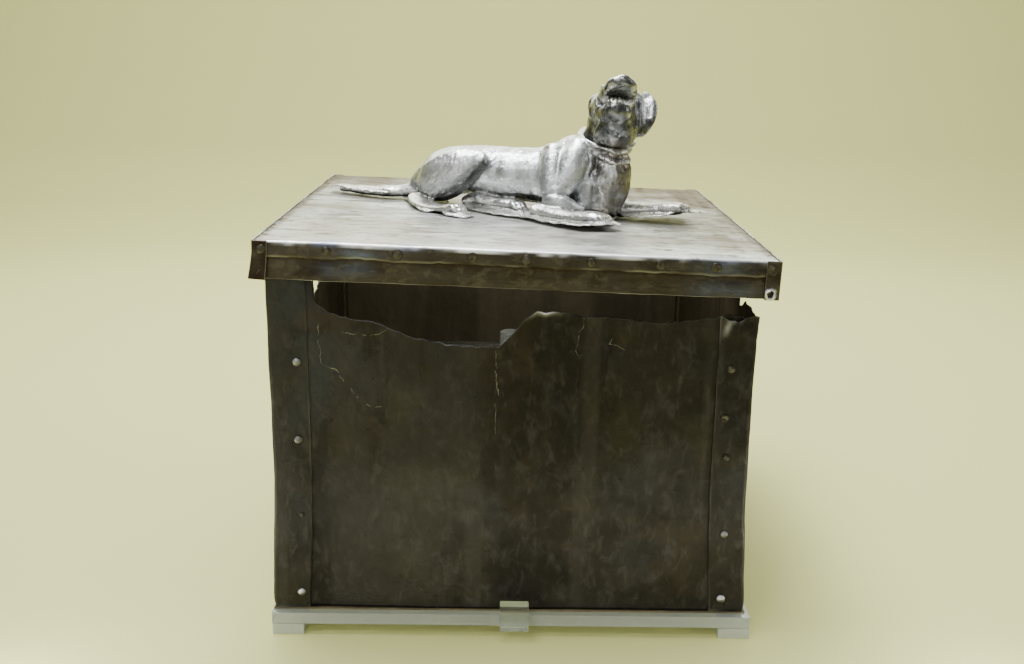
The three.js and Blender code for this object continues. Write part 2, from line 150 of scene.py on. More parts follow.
bright_clear = plain_acrylic("clear acrylic clip", (0.97, 1.0, 0.95), 0.03, 0.97, bend=1.3)
# Painted light: the feet get a paler, less clear copy of the acrylic so that they read as lit.
painted_lit_foot_acrylic = plain_acrylic("lit acrylic foot", (0.90, 0.94, 0.78), 0.12, 0.62)
# Painted glow: a pale, nearly opaque acrylic laid on bevels and some flat tops in place of the light that
# clear edges gather.
pale = plain_acrylic("lit acrylic edge", (0.98, 0.96, 0.74), 0.3, 0.05)


def paint_edge_glow(piece, top=True):
    """Bevels, and the flat top too if asked, get the pale material: a painted glow standing in for the light
    that clear sheet gathers there.
    """
    for face in piece.data.polygons:
        level = face.normal.z
        face.material_index = 1 if 0.3 < abs(level) < 0.98 or (top and level > 0.98) else 0
    return piece


plate = paint_edge_glow(polished_block("stand_plate", 0.5 * MM), top=False)
finish_piece(plate, [acrylic, pale], "clear_acrylic", "stand_plate")
for node_name in ("stand_clip_front", "stand_clip_back"):
    clip = paint_edge_glow(polished_block(node_name, 0.6 * MM))
    finish_piece(clip, [bright_clear, pale], "clear_acrylic", node_name)
for number in range(1, 5):
    node_name = f"stand_foot_{number}"
    foot_block = paint_edge_glow(polished_block(node_name, 0.5 * MM))
    finish_piece(foot_block, [painted_lit_foot_acrylic, pale], "clear_acrylic", node_name)

# ---------------------------------------------------------------------------------------------
# Clear support inside the casket: a turned post with a polished top that carries a crosswise bar.

bar_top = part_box("inner_bar")[1].z
post_low, post_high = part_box("inner_post")
post_centre = (post_low + post_high) / 2
post_radius = (post_high.x - post_low.x) / 2
POST_GAP = 0.3 * MM
DRILL_DEPTH = 60 * MM


def round_rod(bm, radius, depth, centre):
    bmesh.ops.create_cone(bm, cap_ends=True, segments=64, radius1=radius, radius2=radius, depth=depth)
    bmesh.ops.translate(bm, vec=centre, verts=bm.verts)


def clear_post():
    bm = bmesh.new()
    round_rod(bm, post_radius, post_high.z - post_low.z, post_centre)
    rims = [edge for edge in bm.edges if abs(edge.verts[0].co.z - edge.verts[1].co.z) < 1e-6]
    bmesh.ops.bevel(
        bm, geom=rims, offset=0.4 * MM, affect="EDGES", segments=2, profile=0.5, material=-1
    )
    return piece_from(bm, "inner_post_clear", smooth=False)


def clear_bar():
    bar = polished_block("inner_bar", 1.3 * MM)
    bm = bmesh.new()
    round_rod(bm, post_radius + POST_GAP, DRILL_DEPTH, (post_centre.x, post_centre.y, bar_top))
    bar.data = carved(bar, piece_from(bm, "bar_drill"))
    return bar


finish_piece(paint_edge_glow(clear_post()), [acrylic, pale], "clear_acrylic", "inner_post")
finish_piece(paint_edge_glow(clear_bar(), top=False), [bright_clear, pale], "clear_acrylic", "inner_bar")

# ---------------------------------------------------------------------------------------------
# Dark silver. Old sheet silver gone brown-black, semi-gloss, clouded with thinner grey patches,
# scored by fine scratches, worn pale where an edge is torn or rubbed, and given painted highlights.


def mask_group(name, vectors, numbers):
    """An empty group of nodes that takes the named vectors and numbers and gives one mask."""
    group = bpy.data.node_groups.new(name, "ShaderNodeTree")
    for kind, names in (("NodeSocketVector", vectors), ("NodeSocketFloat", numbers)):
        for socket_name in names:
            group.interface.new_socket(name=socket_name, in_out="INPUT", socket_type=kind)
    group.interface.new_socket(name="Mask", in_out="OUTPUT", socket_type="NodeSocketFloat")
    return group, group.nodes.new("NodeGroupInput").outputs, group.nodes.new("NodeGroupOutput").inputs


def thin_line(tree, distance, width):
    """1 on a line, falling to 0 at its width away."""
    fall = {"Value": distance, "From Max": width, "To Min": 1.0, "To Max": 0.0}
    return add_node(tree, "ShaderNodeMapRange", fall).outputs[0]


def build_clouds():
    """Soft patches: noise over a stretched space, cut to a mask between two levels."""
    names = ("Scale", "Distortion", "Low", "High")
    group, given, out = mask_group("clouds", ("Vector", "Stretch"), names)
    space = add_node(
        group, "ShaderNodeVectorMath", {0: given["Vector"], 1: given["Stretch"]}, operation="MULTIPLY"
    )
    patches = add_node(
        group,
        "ShaderNodeTexNoise",
        {
            "Vector": space.outputs[0],
            "Scale": given["Scale"],
            "Detail": 8.0,
            "Roughness": 0.62,
            "Distortion": given["Distortion"],
        },
    )
    mask = add_node(
        group,
        "ShaderNodeMapRange",
        {"Value": patches.outputs[0], "From Min": given["Low"], "From Max": given["High"]},
        interpolation_type="SMOOTHSTEP",
    )
    group.links.new(mask.outputs[0], out["Mask"])
    return group


def build_scratches():
    """Hairlines: the thin band where a stretched noise crosses its middle value, broken up."""
    group, given, out = mask_group("scratches", ("Vector", "Stretch"), ("Scale", "Width", "Keep"))
    space = add_node(
        group, "ShaderNodeVectorMath", {0: given["Vector"], 1: given["Stretch"]}, operation="MULTIPLY"
    )
    lines = add_node(
        group,
        "ShaderNodeTexNoise",
        {"Vector": space.outputs[0], "Scale": given["Scale"], "Detail": 3.0, "Distortion": 0.4},
    )
    distance = math_node(group, "ABSOLUTE", math_node(group, "SUBTRACT", lines.outputs[0], 0.5))
    line = thin_line(group, distance, given["Width"])
    breaks = add_node(group, "ShaderNodeTexNoise", {"Vector": given["Vector"], "Scale": 35.0, "Detail": 2.0})
    kept = math_node(group, "GREATER_THAN", breaks.outputs[0], given["Keep"])
    group.links.new(math_node(group, "MULTIPLY", line, kept), out["Mask"])
    return group


CLOUDS = build_clouds()
SCRATCHES = build_scratches()


class Finish:
    """One material being laid up: colour layers over a base, then roughness and relief."""

    def __init__(self, name, base, grazing=False, **shader):
        self.grazing = grazing
        self.material, self.tree, self.surface = new_material(name, **shader)
        self.space = add_node(self.tree, "ShaderNodeTexCoord").outputs["Object"]
        self.color = None
        self.base = (*base, 1.0)

    def clouds(self, scale, low=0.4, high=0.6, stretch=(1.0, 1.0, 1.0), distortion=0.5, at=(0, 0, 0)):
        moved = add_node(self.tree, "ShaderNodeMapping", {"Vector": self.space, "Location": at})
        given = {"Vector": moved.outputs[0], "Stretch": stretch, "Scale": scale}
        given |= {"Distortion": distortion, "Low": low, "High": high}
        return add_node(self.tree, "ShaderNodeGroup", given, node_tree=CLOUDS).outputs["Mask"]

    def scratches(self, scale, width, stretch=(1.0, 1.0, 1.0), keep=0.55):
        given = {"Vector": self.space, "Stretch": stretch, "Scale": scale, "Width": width, "Keep": keep}
        return add_node(self.tree, "ShaderNodeGroup", given, node_tree=SCRATCHES).outputs["Mask"]

    def attribute(self, name):
        return add_node(self.tree, "ShaderNodeAttribute", attribute_name=name).outputs["Fac"]

    def times(self, mask, amount):
        return math_node(self.tree, "MULTIPLY", mask, amount)

    def layer(self, color, mask, amount=1.0):
        """Lays a colour over what is there, where the mask is 1."""
        below = self.base if self.color is None else self.color
        factor = self.times(mask, amount)
        mixed = add_node(
            self.tree, "ShaderNodeMix", {"Factor": factor, 6: below, 7: (*color, 1.0)}, data_type="RGBA"
        )
        self.color = mixed.outputs[2]
        self.tree.links.new(self.color, self.surface.inputs["Base Color"])
        if self.grazing:
            self.tree.links.new(self.color, self.surface.inputs["Specular Tint"])

    def clouded(self, rows):
        """Layers of soft patches, each row a colour, an amount and what clouds takes."""
        for color, amount, *patches in rows:
            self.layer(color, self.clouds(*patches), amount)

    def clouded_where(self, name, rows):
        """Layers of soft patches only where the attribute of that name is 1."""
        for color, amount, *patches in rows:
            self.layer(color, self.times(self.clouds(*patches), self.attribute(name)), amount)

    def spread(self, mask, low, high):
        node = add_node(self.tree, "ShaderNodeMapRange", {"Value": mask, "To Min": low, "To Max": high})
        return node.outputs[0]

    def roughness(self, mask, low, high):
        self.tree.links.new(self.spread(mask, low, high), self.surface.inputs["Roughness"])

    def relief(self, parts, distance):
        """Bump from several heights, given as (mask, weight) pairs."""
        total = None
        for mask, weight in parts:
            height = self.times(mask, weight)
            total = height if total is None else math_node(self.tree, "ADD", total, height)
        bump = add_node(self.tree, "ShaderNodeBump", {"Height": total, "Distance": distance, "Strength": 1.0})
        self.tree.links.new(bump.outputs[0], self.surface.inputs["Normal"])


def dark_silver(name):
    dark = Finish(name, (0.0185, 0.0168, 0.0142), Metallic=0.80)
    dark.clouded(
        [
            ((0.0086, 0.0072, 0.0057), 0.75, 9.0, 0.42, 0.60, (1.0, 1.0, 0.7), 0.4),
            ((0.0400, 0.0410, 0.0511), 0.7, 5.0, 0.48, 0.72, (1.0, 1.0, 0.8), 0.8, (3.1, 0.4, 0.9)),
            ((0.0381, 0.0280, 0.0186), 0.6, 13.0, 0.48, 0.7, (1.0, 1.0, 1.0), 0.5, (7.0, 2.0, 1.0)),
            ((0.0476, 0.0466, 0.0488), 0.45, 36.0, 0.50, 0.74, (1.6, 1.0, 0.9), 0.3),
            ((0.0086, 0.0078, 0.0064), 0.6, 40.0, 0.48, 0.76, (1.3, 1.0, 1.0), 0.6, (2.0, 5.0, 3.0)),
            ((0.0381, 0.0354, 0.0336), 0.45, 17.0, 0.50, 0.60, (1.0, 1.0, 0.05), 0.2, (1.0, 9.0, 3.0)),
            ((0.0495, 0.0457, 0.0464), 0.55, 120.0, 0.48, 0.72, (1.0, 1.0, 0.5), 0.6),
            ((0.0053, 0.0046, 0.0040), 0.6, 210.0, 0.62, 0.72, (1.0, 1.0, 1.0), 0.0, (5.0, 5.0, 3.0)),
        ]
    )
    dark.layer((0.0780, 0.0780, 0.0663), dark.scratches(34.0, 0.002, (1.0, 1.0, 0.05), 0.62), 0.16)
    dark.layer((0.24, 0.23, 0.19), dark.attribute("edge"), 0.9)
    # Painted highlights: the crumpled top of the right strap, spots on the front panel's torn rim and its
    # curled lip.
    dark.layer((0.78, 0.80, 0.85), dark.attribute("painted_highlight"), 0.95)
    dark.roughness(dark.clouds(18.0, 0.3, 0.7), 0.34, 0.56)
    dark.relief([(dark.clouds(60.0, 0.2, 0.8), 0.8), (dark.clouds(240.0, 0.2, 0.8), 0.35)], 0.4 * MM)
    return dark


dark = dark_silver("dark silver")

inner = Finish("inner silver", (0.165, 0.135, 0.070), Metallic=0.35)
inner.clouded(
    [
        ((0.085, 0.068, 0.036), 0.7, 14.0, 0.42, 0.6, (1.0, 1.0, 0.08)),
        ((0.20, 0.18, 0.125), 0.6, 22.0, 0.52, 0.7, (1.0, 1.0, 0.3), 1.0),
    ]
)
inner.layer((0.24, 0.23, 0.19), inner.attribute("edge"), 0.9)
inner.roughness(inner.clouds(30.0, 0.3, 0.7), 0.45, 0.62)
inner.relief([(inner.clouds(60.0, 0.2, 0.8), 1.0)], 0.4 * MM)


# ---------------------------------------------------------------------------------------------
# Casket floor and side sheets. Each side is one sheet hammered round two corners, so its ends lie
# over the front and the back as straps. The sheets lean out at the foot and are torn at the top.

SHEET = 1.2 * MM
GAP = 0.3 * MM
BODY_X = -2.5 * MM
BODY_HALF_WIDTH = 195 * MM
STRAP = 31 * MM
FOLD = 2.5 * MM
FLARE = 5.3 * MM
FLARE_HEIGHT = 130 * MM
LID_TILT = math.radians(1.73)
LID_TOP = 333 * MM
LID_X = 7 * MM * math.sin(LID_TILT)
UNTORN = 3 * MM
SIDE_COLUMNS, SIDE_ROWS = 310, 84
CRUMPLE_X, CRUMPLE_Z = 172 * MM, 278 * MM


def wave(point, size, seed=0.0):
    """Smooth noise from -1 to 1 over metres, its hills about one size across."""
    return noise.noise(Vector(point) / size + Vector((seed * 1.7, 2.3 * seed, -seed)))


def up_to(up, rows, low, high, rim=0.8 * MM):
    """Height at a share of the way up, with the last row a hair below the edge for its worn rim."""
    last = 1 - 1 / rows
    return high if up > 1 - 0.5 / rows else low + (high - rim - low) * min(1.0, up / last)


def near(value, centre, reach):
    return math.exp(-(((value - centre) / reach) ** 2))


def fade(distance, reach):
    return min(1.0, max(0.0, 1 - distance / reach))


def beaten_sheet(name, columns, rows, place, masks=("edge", "painted_highlight"), keep=None):
    """A sheet of silver: place(across, up) gives a point of its face and its mask values."""
    bm = bmesh.new()
    layers = [bm.verts.layers.float.new(mask) for mask in masks]
    bmesh.ops.create_grid(bm, x_segments=columns, y_segments=rows, size=0.5)
    if keep:
        middle = Vector((0.5, 0.5))
        outside = [face for face in bm.faces if not keep(*(face.calc_center_median().xy + middle))]
        bmesh.ops.delete(bm, geom=outside, context="FACES")
    for vert in bm.verts:
        point, *values = place(vert.co.x + 0.5, vert.co.y + 0.5)
        vert.co = point
        for layer, value in zip(layers, values):
            vert[layer] = min(1.0, max(0.0, value))
    bmesh.ops.delete(bm, geom=[vert for vert in bm.verts if not vert.link_faces], context="VERTS")
    piece = piece_from(bm, name)
    wall = piece.modifiers.new("sheet thickness", "SOLIDIFY")
    wall.thickness = SHEET
    wall.offset = -1.0
    wall.material_offset = 1
    return piece


def top_finder(node):
    """Height of a CAD sheet's top edge over any point of its plan."""
    copy = bmesh.new()
    copy.from_mesh(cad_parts[node].data)
    tree = BVHTree.FromBMesh(copy)
    copy.free()

    def height(x, y):
        hit = tree.ray_cast(Vector((x, y, 1.0)), Vector((0, 0, -1)))[0]
        return hit.z if hit else None

    return height


def under_lid(x):
    return LID_TOP - (x - LID_X) * math.tan(LID_TILT) - SHEET / math.cos(LID_TILT) - GAP


def torn_top(top, x, along):
    """A top edge's height made ragged where it is torn, and 1 or 0 for torn or whole."""
    if top is None:
        return under_lid(x), 0.0
    if top > under_lid(x) - UNTORN:
        return top, 0.0
    bites = 1.5 * MM * wave((along, 0, 0), 6 * MM, 4) + 0.8 * MM * wave((along, 0, 0), 1.9 * MM, 7)
    return top + bites, 1.0


def channel(half_width, half_depth, flange, fold):
    """A plan line folded round two corners on +X: place and outward normal at a distance along."""
    flat = flange - fold
    arc = fold * math.pi / 2
    wall = 2 * (half_depth - fold)
    length = 2 * flat + 2 * arc + wall

    def at(distance):
        back = distance > length / 2
        reach = length - distance if back else distance
        way = 1 if back else -1
        if reach <= flat:
            return half_width - flange + reach, way * half_depth, 0.0, way
        if reach <= flat + arc:
            turn = (reach - flat) / fold
            nx, ny = math.sin(turn), way * math.cos(turn)
            return half_width - fold + fold * nx, way * (half_depth - fold) + fold * ny, nx, ny
        return half_width, way * (half_depth - fold - (reach - flat - arc)), 1.0, 0.0

    return at, length


def crumple_light(x, z):
    """A painted highlight: the pale crescent where the torn top of the right strap is crumpled."""
    slanting = near(x - CRUMPLE_X + 0.28 * (CRUMPLE_Z - z), 0.0, 2.4 * MM)
    slanting *= fade(abs(z - CRUMPLE_Z + 6 * MM), 9 * MM)
    level = near(z, CRUMPLE_Z - 0.5 * MM, 1.2 * MM) * near(x, CRUMPLE_X + 4 * MM, 5 * MM)
    return 0.32 * (slanting + 0.7 * level)


def side_sheet(node, side):
    low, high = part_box(node)
    foot, half_depth = low.z, high.y
    at, length = channel(BODY_HALF_WIDTH, half_depth, STRAP, FOLD)
    height = top_finder(node)

    def across_at(across):
        return length * (across if side > 0 else 1 - across)

    tops = {}
    for column in range(SIDE_COLUMNS + 1):
        distance = across_at(column / SIDE_COLUMNS)
        x, y, nx, ny = at(distance)
        x = BODY_X + side * x
        top = height(x - side * nx * SHEET / 2, y - ny * SHEET / 2)
        tops[column] = torn_top(top, x, distance + side)

    def place(across, up):
        distance = across_at(across)
        top, torn = tops[round(across * SIDE_COLUMNS)]
        z = up_to(up, SIDE_ROWS, foot, top)
        x, y, nx, ny = at(distance)
        point = Vector((BODY_X + side * x, y, z))
        normal = Vector((side * nx, ny, 0))
        from_end = min(distance, length - distance)
        strap = 1.0 if from_end < STRAP - FOLD else 0.0
        dents = 1.5 * MM * wave(point, 120 * MM, 3) + 0.5 * MM * wave(point, 34 * MM, 5)
        dents += 0.16 * MM * wave(point, 11 * MM, 7)
        crumple = fade(top - z, 26 * MM) * torn
        dents += crumple * (1.7 * MM * wave(point, 13 * MM, 9) + 0.5 * MM * wave(point, 5 * MM, 2))
        if strap:
            dents = 0.45 * abs(dents) + crumple * 1.6 * MM * abs(wave(point, 9 * MM, 6))
            sway = 0.6 * MM * wave((0, 0, z), 25 * MM, 8 + side) * fade(from_end, STRAP)
            point.x += side * sway
        corner = fade(half_depth - abs(y), 14 * MM)
        dents -= 2.4 * MM * fade(z - foot, 9 * MM) ** 2 * corner * (1 - strap)
        point += normal * dents
        point.x += side * FLARE * fade(z - foot, FLARE_HEIGHT) ** 1.6
        worn = 0.5 + 0.9 * wave(point, 18 * MM, 12)
        edge = (0.8 if up == 1 else 0.0) * torn * worn + 0.55 * fade(z - foot, 2.2 * MM) * worn
        edge += 0.25 * fade(from_end, 0.9 * MM) * worn
        edge += 0.16 * near(nx * nx, 0.5, 0.3) * (0.5 + wave(point, 45 * MM, 2))
        return point, edge, crumple_light(x, z) if side > 0 and y < 0 else 0.0

    piece = beaten_sheet(node + "_beaten", SIDE_COLUMNS, SIDE_ROWS, place)
    return finish_piece(piece, [dark.material, inner.material], "casket_silver", node)


side_sheet("left_side", -1)
side_sheet("right_side", 1)

floor_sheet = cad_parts["floor_sheet"]
for slot in floor_sheet.material_slots:
    slot.material = inner.material

# ---------------------------------------------------------------------------------------------
# Front and back panels. Flat hammered sheets standing inside the straps. The front one has lost
# its top: the torn edge is worn and carries painted highlights, one lip curls forward, and cracks run down
# from it.

PANEL_COLUMNS, PANEL_ROWS = 250, 120
FRONT_CRACKS = [
    [(-17, 251), (-15, 219), (-16, 179)],
    [(54, 279), (50, 264), (48, 247)],
    [(75.6, 262), (75.4, 257), (87, 252)],
    [(-157, 273), (-156.5, 240), (-151, 237), (-145, 232), (-137.5, 224)],
    [(-133, 217), (-128, 210)],
    [(-121, 204), (-108, 201)],
    [(-138, 264), (-117, 261), (-98, 268)],
]


def build_crack():
    """A crooked hairline right through a sheet, from one point of its face to another."""
    group, given, out = mask_group("crack", ("Vector", "From", "To"), ("Width",))

    def vector(operation, *given_values, output=0):
        last = "Scale" if operation == "SCALE" else 1
        inputs = dict(zip((0, last), given_values))
        return add_node(group, "ShaderNodeVectorMath", inputs, operation=operation).outputs[output]

    jog = add_node(group, "ShaderNodeTexNoise", {"Vector": given["Vector"], "Scale": 95.0, "Detail": 4.0})
    jog = vector("SUBTRACT", jog.outputs[1], (0.5, 0.5, 0.5))
    moved = vector("ADD", given["Vector"], vector("SCALE", jog, 0.009))
    flat = vector("MULTIPLY", moved, (1.0, 0.0, 1.0))
    reach = vector("SUBTRACT", flat, given["From"])
    line = vector("SUBTRACT", given["To"], given["From"])
    along = vector("DOT_PRODUCT", reach, line, output=1)
    length = vector("DOT_PRODUCT", line, line, output=1)
    share = math_node(group, "DIVIDE", along, length, use_clamp=True)
    off = vector("SUBTRACT", reach, vector("SCALE", line, share))
    group.links.new(thin_line(group, vector("LENGTH", off, output=1), given["Width"]), out["Mask"])
    return group


CRACK = build_crack()


def crack_mask(finish, lines, width):
    total = None
    for line in lines:
        for start, end in zip(line, line[1:]):
            given = {"Vector": finish.space, "Width": width}
            for key, (x, z) in (("From", start), ("To", end)):
                given[key] = (x * MM, 0, z * MM)
            mask = add_node(finish.tree, "ShaderNodeGroup", given, node_tree=CRACK).outputs["Mask"]
            total = mask if total is None else math_node(finish.tree, "MAXIMUM", total, mask)
    return total


cracked = dark_silver("cracked dark silver")
dotted = cracked.times(crack_mask(cracked, FRONT_CRACKS, 0.36 * MM), cracked.clouds(150.0, 0.40, 0.60))
cracked.layer((0.25, 0.25, 0.21), dotted, 0.8)


def panel(node, facing, material):
    low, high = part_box(node)
    foot = low.z
    face = high.y if facing > 0 else low.y
    height = top_finder(node)
    inside = face - facing * SHEET / 2

    def across_at(across):
        across = across if facing < 0 else 1 - across
        return low.x + 0.05 * MM + (high.x - low.x - 0.1 * MM) * across

    tops = []
    for column in range(PANEL_COLUMNS + 1):
        x = across_at(column / PANEL_COLUMNS)
        tops.append(torn_top(height(x, inside), x, column * 1.5 * MM))

    def place(across, up):
        x = across_at(across)
        top, torn = tops[round(across * PANEL_COLUMNS)]
        z = up_to(up, PANEL_ROWS, foot, top)
        point = Vector((x, face, z))
        held = min(fade(x - low.x, 38 * MM) + fade(high.x - x, 38 * MM), 1.0)
        dents = 2.0 * MM * wave(point, 130 * MM, 11) + 0.7 * MM * wave(point, 42 * MM, 13)
        dents += 0.18 * MM * wave(point, 12 * MM, 15)
        dents = dents * (1 - held) - 0.2 * MM
        lip = near(x, 24 * MM, 13 * MM) * fade(top - z, 7 * MM) ** 2 if facing < 0 else 0.0
        tip = 0.9 * MM * fade(top - z, 6 * MM) * wave((x, 0, 0), 14 * MM, 21) * torn
        point.y += facing * (dents + tip + 3.4 * MM * lip)
        point.z -= 1.6 * MM * lip
        rim = torn if up == 1 else 0.0
        worn = 0.45 + 0.9 * wave((x, 0, 0), 12 * MM, 23)
        # Painted highlights: spots along the torn rim and a pale bluish sheen on the curled lip.
        rim_highlight_spots = near(x, -112 * MM, 18 * MM) + near(x, -55 * MM, 36 * MM)
        painted_shine = rim * 0.9 * rim_highlight_spots * (0.3 + worn)
        painted_lip_sheen = 0.75 * lip * near(x, 22 * MM, 9 * MM) * fade(top - z - 2.2 * MM, 2 * MM)
        return point, 0.6 * rim * worn, 0.3 * painted_shine + painted_lip_sheen if facing < 0 else 0.0

    piece = beaten_sheet(node + "_beaten", PANEL_COLUMNS, PANEL_ROWS, place)
    return finish_piece(piece, [material, inner.material], "casket_silver", node)


panel("front_panel", -1, cracked.material)
panel("back_panel", 1, dark.material)

# ---------------------------------------------------------------------------------------------
# Rivets. Domed silver rivets beaten down by hand: each head is a little out of round, a few are
# flattened or worn to a ring, and five on the casket's front carry a painted highlight towards the top of the
# dome.

rivet_finish = Finish("rivet silver", (0.036, 0.031, 0.022), Metallic=0.92)
rivet_finish.layer((0.035, 0.030, 0.021), rivet_finish.clouds(150.0, 0.45, 0.6))
rivet_finish.layer((0.10, 0.095, 0.08), rivet_finish.attribute("worn"), 0.9)
# Painted highlight on five of the domes.
rivet_finish.layer((0.80, 0.81, 0.84), rivet_finish.attribute("painted_highlight"))
rivet_finish.roughness(rivet_finish.clouds(400.0), 0.34, 0.52)
rivet_finish.relief([(rivet_finish.clouds(600.0, 0.2, 0.8), 1.0)], 0.15 * MM)

HEAD_RADIUS = 3.6 * MM
CASKET_CROWN, LID_CROWN = 2.0 * MM, 1.3 * MM
LID_RIVET_SIZE = 1.1
PAINTED_HIGHLIGHT_RIVETS = {"casket_front_rivet_4": 0.45, "casket_front_rivet_9": 0.45, "casket_front_rivet_8": 0.2,
                 "casket_front_rivet_1": 0.35, "casket_front_rivet_2": 0.16}
SMALL_RIVETS = {"casket_front_rivet_3": 0.55, "casket_front_rivet_7": 0.8}
RING_RIVETS = {"casket_front_rivet_6", "lid_front_corner_rivet_2", "lid_front_corner_rivet_3"}
FLAT_RIVETS = {"casket_front_rivet_5": 0.55}
RIVET_ROWS = {
    "casket_front_rivet": (9, (0, -1, 0)), "casket_back_rivet": (6, (0, 1, 0)),
    "lid_front_rivet": (7, (0, -1, 0)), "lid_front_corner_rivet": (3, (0, -1, 0)),
    "lid_back_rivet": (5, (0, 1, 0)), "lid_back_corner_rivet": (2, (0, 1, 0)),
    "lid_left_rivet": (3, (-1, 0, 0)), "lid_right_rivet": (3, (1, 0, 0)),
}
LID_TURN = Matrix.Rotation(LID_TILT, 4, "Y")


def beaten_rivet(node, facing, draw):
    low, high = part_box(node)
    facing = Vector(facing)
    centre = (low + high) / 2
    reach = abs((high - low).dot(facing)) / 2
    seat = centre + facing * (reach - 1.8 * MM)
    on_lid_face = node.startswith("lid")
    size = SMALL_RIVETS.get(node, 1.0) * draw.uniform(0.92, 1.06) * (LID_RIVET_SIZE if on_lid_face else 1.0)
    crown = LID_CROWN if on_lid_face else CASKET_CROWN
    crown *= FLAT_RIVETS.get(node, 1.0) * draw.uniform(0.85, 1.05)
    bm = bmesh.new()
    worn = bm.verts.layers.float.new("worn")
    painted_highlight = bm.verts.layers.float.new("painted_highlight")
    bmesh.ops.create_uvsphere(bm, u_segments=20, v_segments=12, radius=1.0)
    geom = bm.verts[:] + bm.edges[:] + bm.faces[:]
    bmesh.ops.bisect_plane(bm, geom=geom, plane_co=(0, 0, -0.02), plane_no=(0, 0, -1), clear_outer=True)
    rim = [edge for edge in bm.edges if edge.is_boundary]
    skirt = bmesh.ops.extrude_edge_only(bm, edges=rim)["geom"]
    lowered = [item for item in skirt if isinstance(item, bmesh.types.BMVert)]
    bmesh.ops.translate(bm, vec=(0, 0, -0.55), verts=lowered)
    bmesh.ops.holes_fill(bm, edges=[edge for edge in bm.edges if edge.is_boundary])
    bmesh.ops.recalc_face_normals(bm, faces=bm.faces)
    seed = draw.uniform(0, 50)
    squash, squash_angle = draw.uniform(0.9, 1.0), draw.uniform(0, math.pi)
    for vert in bm.verts:
        level = vert.co.z
        flat = Vector((vert.co.x, vert.co.y, 0))
        lump = 1 + 0.10 * wave(vert.co, 0.8, seed)
        turned = math.cos(math.atan2(vert.co.y, vert.co.x) - squash_angle)
        lump *= 1 - (1 - squash) * turned * turned
        co = flat * HEAD_RADIUS * size * lump
        rise = level**0.8 if level > 0 else level
        co.z = rise * crown * (1 + 0.25 * wave(vert.co, 0.6, seed + 9))
        if node in RING_RIVETS and level > 0:
            co.z -= crown * 0.95 * near(flat.length, 0.0, 0.55)
        vert[worn] = (0.35 + 0.65 * level) * (0.6 + wave(vert.co, 0.7, seed)) if level > 0.2 else 0.0
        # Painted highlight, strongest towards the top of the dome.
        glare = max(0.0, min(1.0, 0.35 + 0.9 * flat.y - 0.4 * flat.x)) + 0.2
        vert[painted_highlight] = 1.2 * PAINTED_HIGHLIGHT_RIVETS.get(node, 0.0) * max(0.0, min(1.0, 2 * level)) * glare
        vert.co = co
    matrix = Matrix.Translation(seat) @ facing.to_track_quat("Z", "Y").to_matrix().to_4x4()
    if on_lid_face:
        matrix = Matrix.Translation(seat) @ LID_TURN @ Matrix.Translation(-seat) @ matrix
    bmesh.ops.transform(bm, matrix=matrix, verts=bm.verts)
    finish_piece(piece_from(bm, node + "_domed"), rivet_finish.material, "rivet_silver", node)


rivet_draw = random.Random(41)
for row, (count, facing) in RIVET_ROWS.items():
    for number in range(1, count + 1):
        beaten_rivet(f"{row}_{number}", facing, rivet_draw)

# ---------------------------------------------------------------------------------------------
# Lid silver: the same sheet kept paler on top, streaked lengthwise by rubbing, tan where it is
# stained towards the back, and browner with a few bluish patches down the skirt.

lid_silver = Finish("lid silver", (0.58, 0.60, 0.56), grazing=True, Metallic=0.70)
lid_silver.clouded(
    [
        ((0.33, 0.33, 0.30), 0.7, 9.0, 0.44, 0.62, (0.6, 1.0, 1.0), 0.9),
        ((0.87, 0.91, 0.89), 0.75, 22.0, 0.46, 0.64, (0.45, 1.0, 1.0), 0.7),
        ((0.20, 0.19, 0.155), 0.8, 30.0, 0.53, 0.64, (0.4, 1.0, 1.0), 0.8),
        ((0.10, 0.09, 0.065), 0.75, 70.0, 0.55, 0.63, (0.45, 1.0, 1.0), 0.7),
        ((0.08, 0.07, 0.05), 0.7, 150.0, 0.56, 0.63, (0.5, 1.0, 1.0), 0.7),
        ((0.92, 0.96, 0.94), 0.6, 85.0, 0.55, 0.68, (0.30, 1.0, 1.0), 0.6),
        ((0.40, 0.34, 0.26), 0.45, 9.0, 0.46, 0.60, (0.6, 1.0, 1.0), 0.5, (5.0, 2.0, 1.0)),
    ]
)
lid_silver.layer((0.20, 0.16, 0.105), lid_silver.attribute("stain"), 0.9)
lid_silver.clouded_where("stain", [((0.09, 0.07, 0.045), 0.8, 150.0, 0.50, 0.60, (0.5, 1.0, 1.0))])
lid_silver.layer((0.034, 0.027, 0.021), lid_silver.attribute("skirt"), 0.97)
lid_silver.clouded_where(
    "skirt",
    [
        ((0.088, 0.076, 0.066), 0.8, 18.0, 0.42, 0.74, (0.45, 1.0, 1.0), 0.8),
        ((0.017, 0.012, 0.008), 0.85, 30.0, 0.46, 0.74, (0.4, 1.0, 1.0), 0.8, (4.0, 1.0, 2.0)),
        ((0.12, 0.105, 0.08), 0.35, 150.0, 0.50, 0.64, (0.6, 1.0, 1.0)),
    ],
)
lid_silver.layer((0.16, 0.20, 0.31), lid_silver.attribute("blue"), 0.55)
lid_silver.clouded_where("blue", [((0.17, 0.23, 0.38), 0.85, 70.0, 0.42, 0.58, (0.5, 1.0, 1.0), 0.5)])
# Dark stain on the left tab, near the top's side edges and along the lip's lower edge, and a painted shadow
# on the strips just under the lip.
lid_silver.layer((0.030, 0.018, 0.011), lid_silver.attribute("dirt_and_shadow"), 0.94)
lid_silver.layer((0.10, 0.09, 0.07), lid_silver.scratches(40.0, 0.003, (0.08, 1.0, 1.0), 0.55), 0.45)
lid_silver.layer((0.50, 0.49, 0.45), lid_silver.attribute("edge"), 0.85)
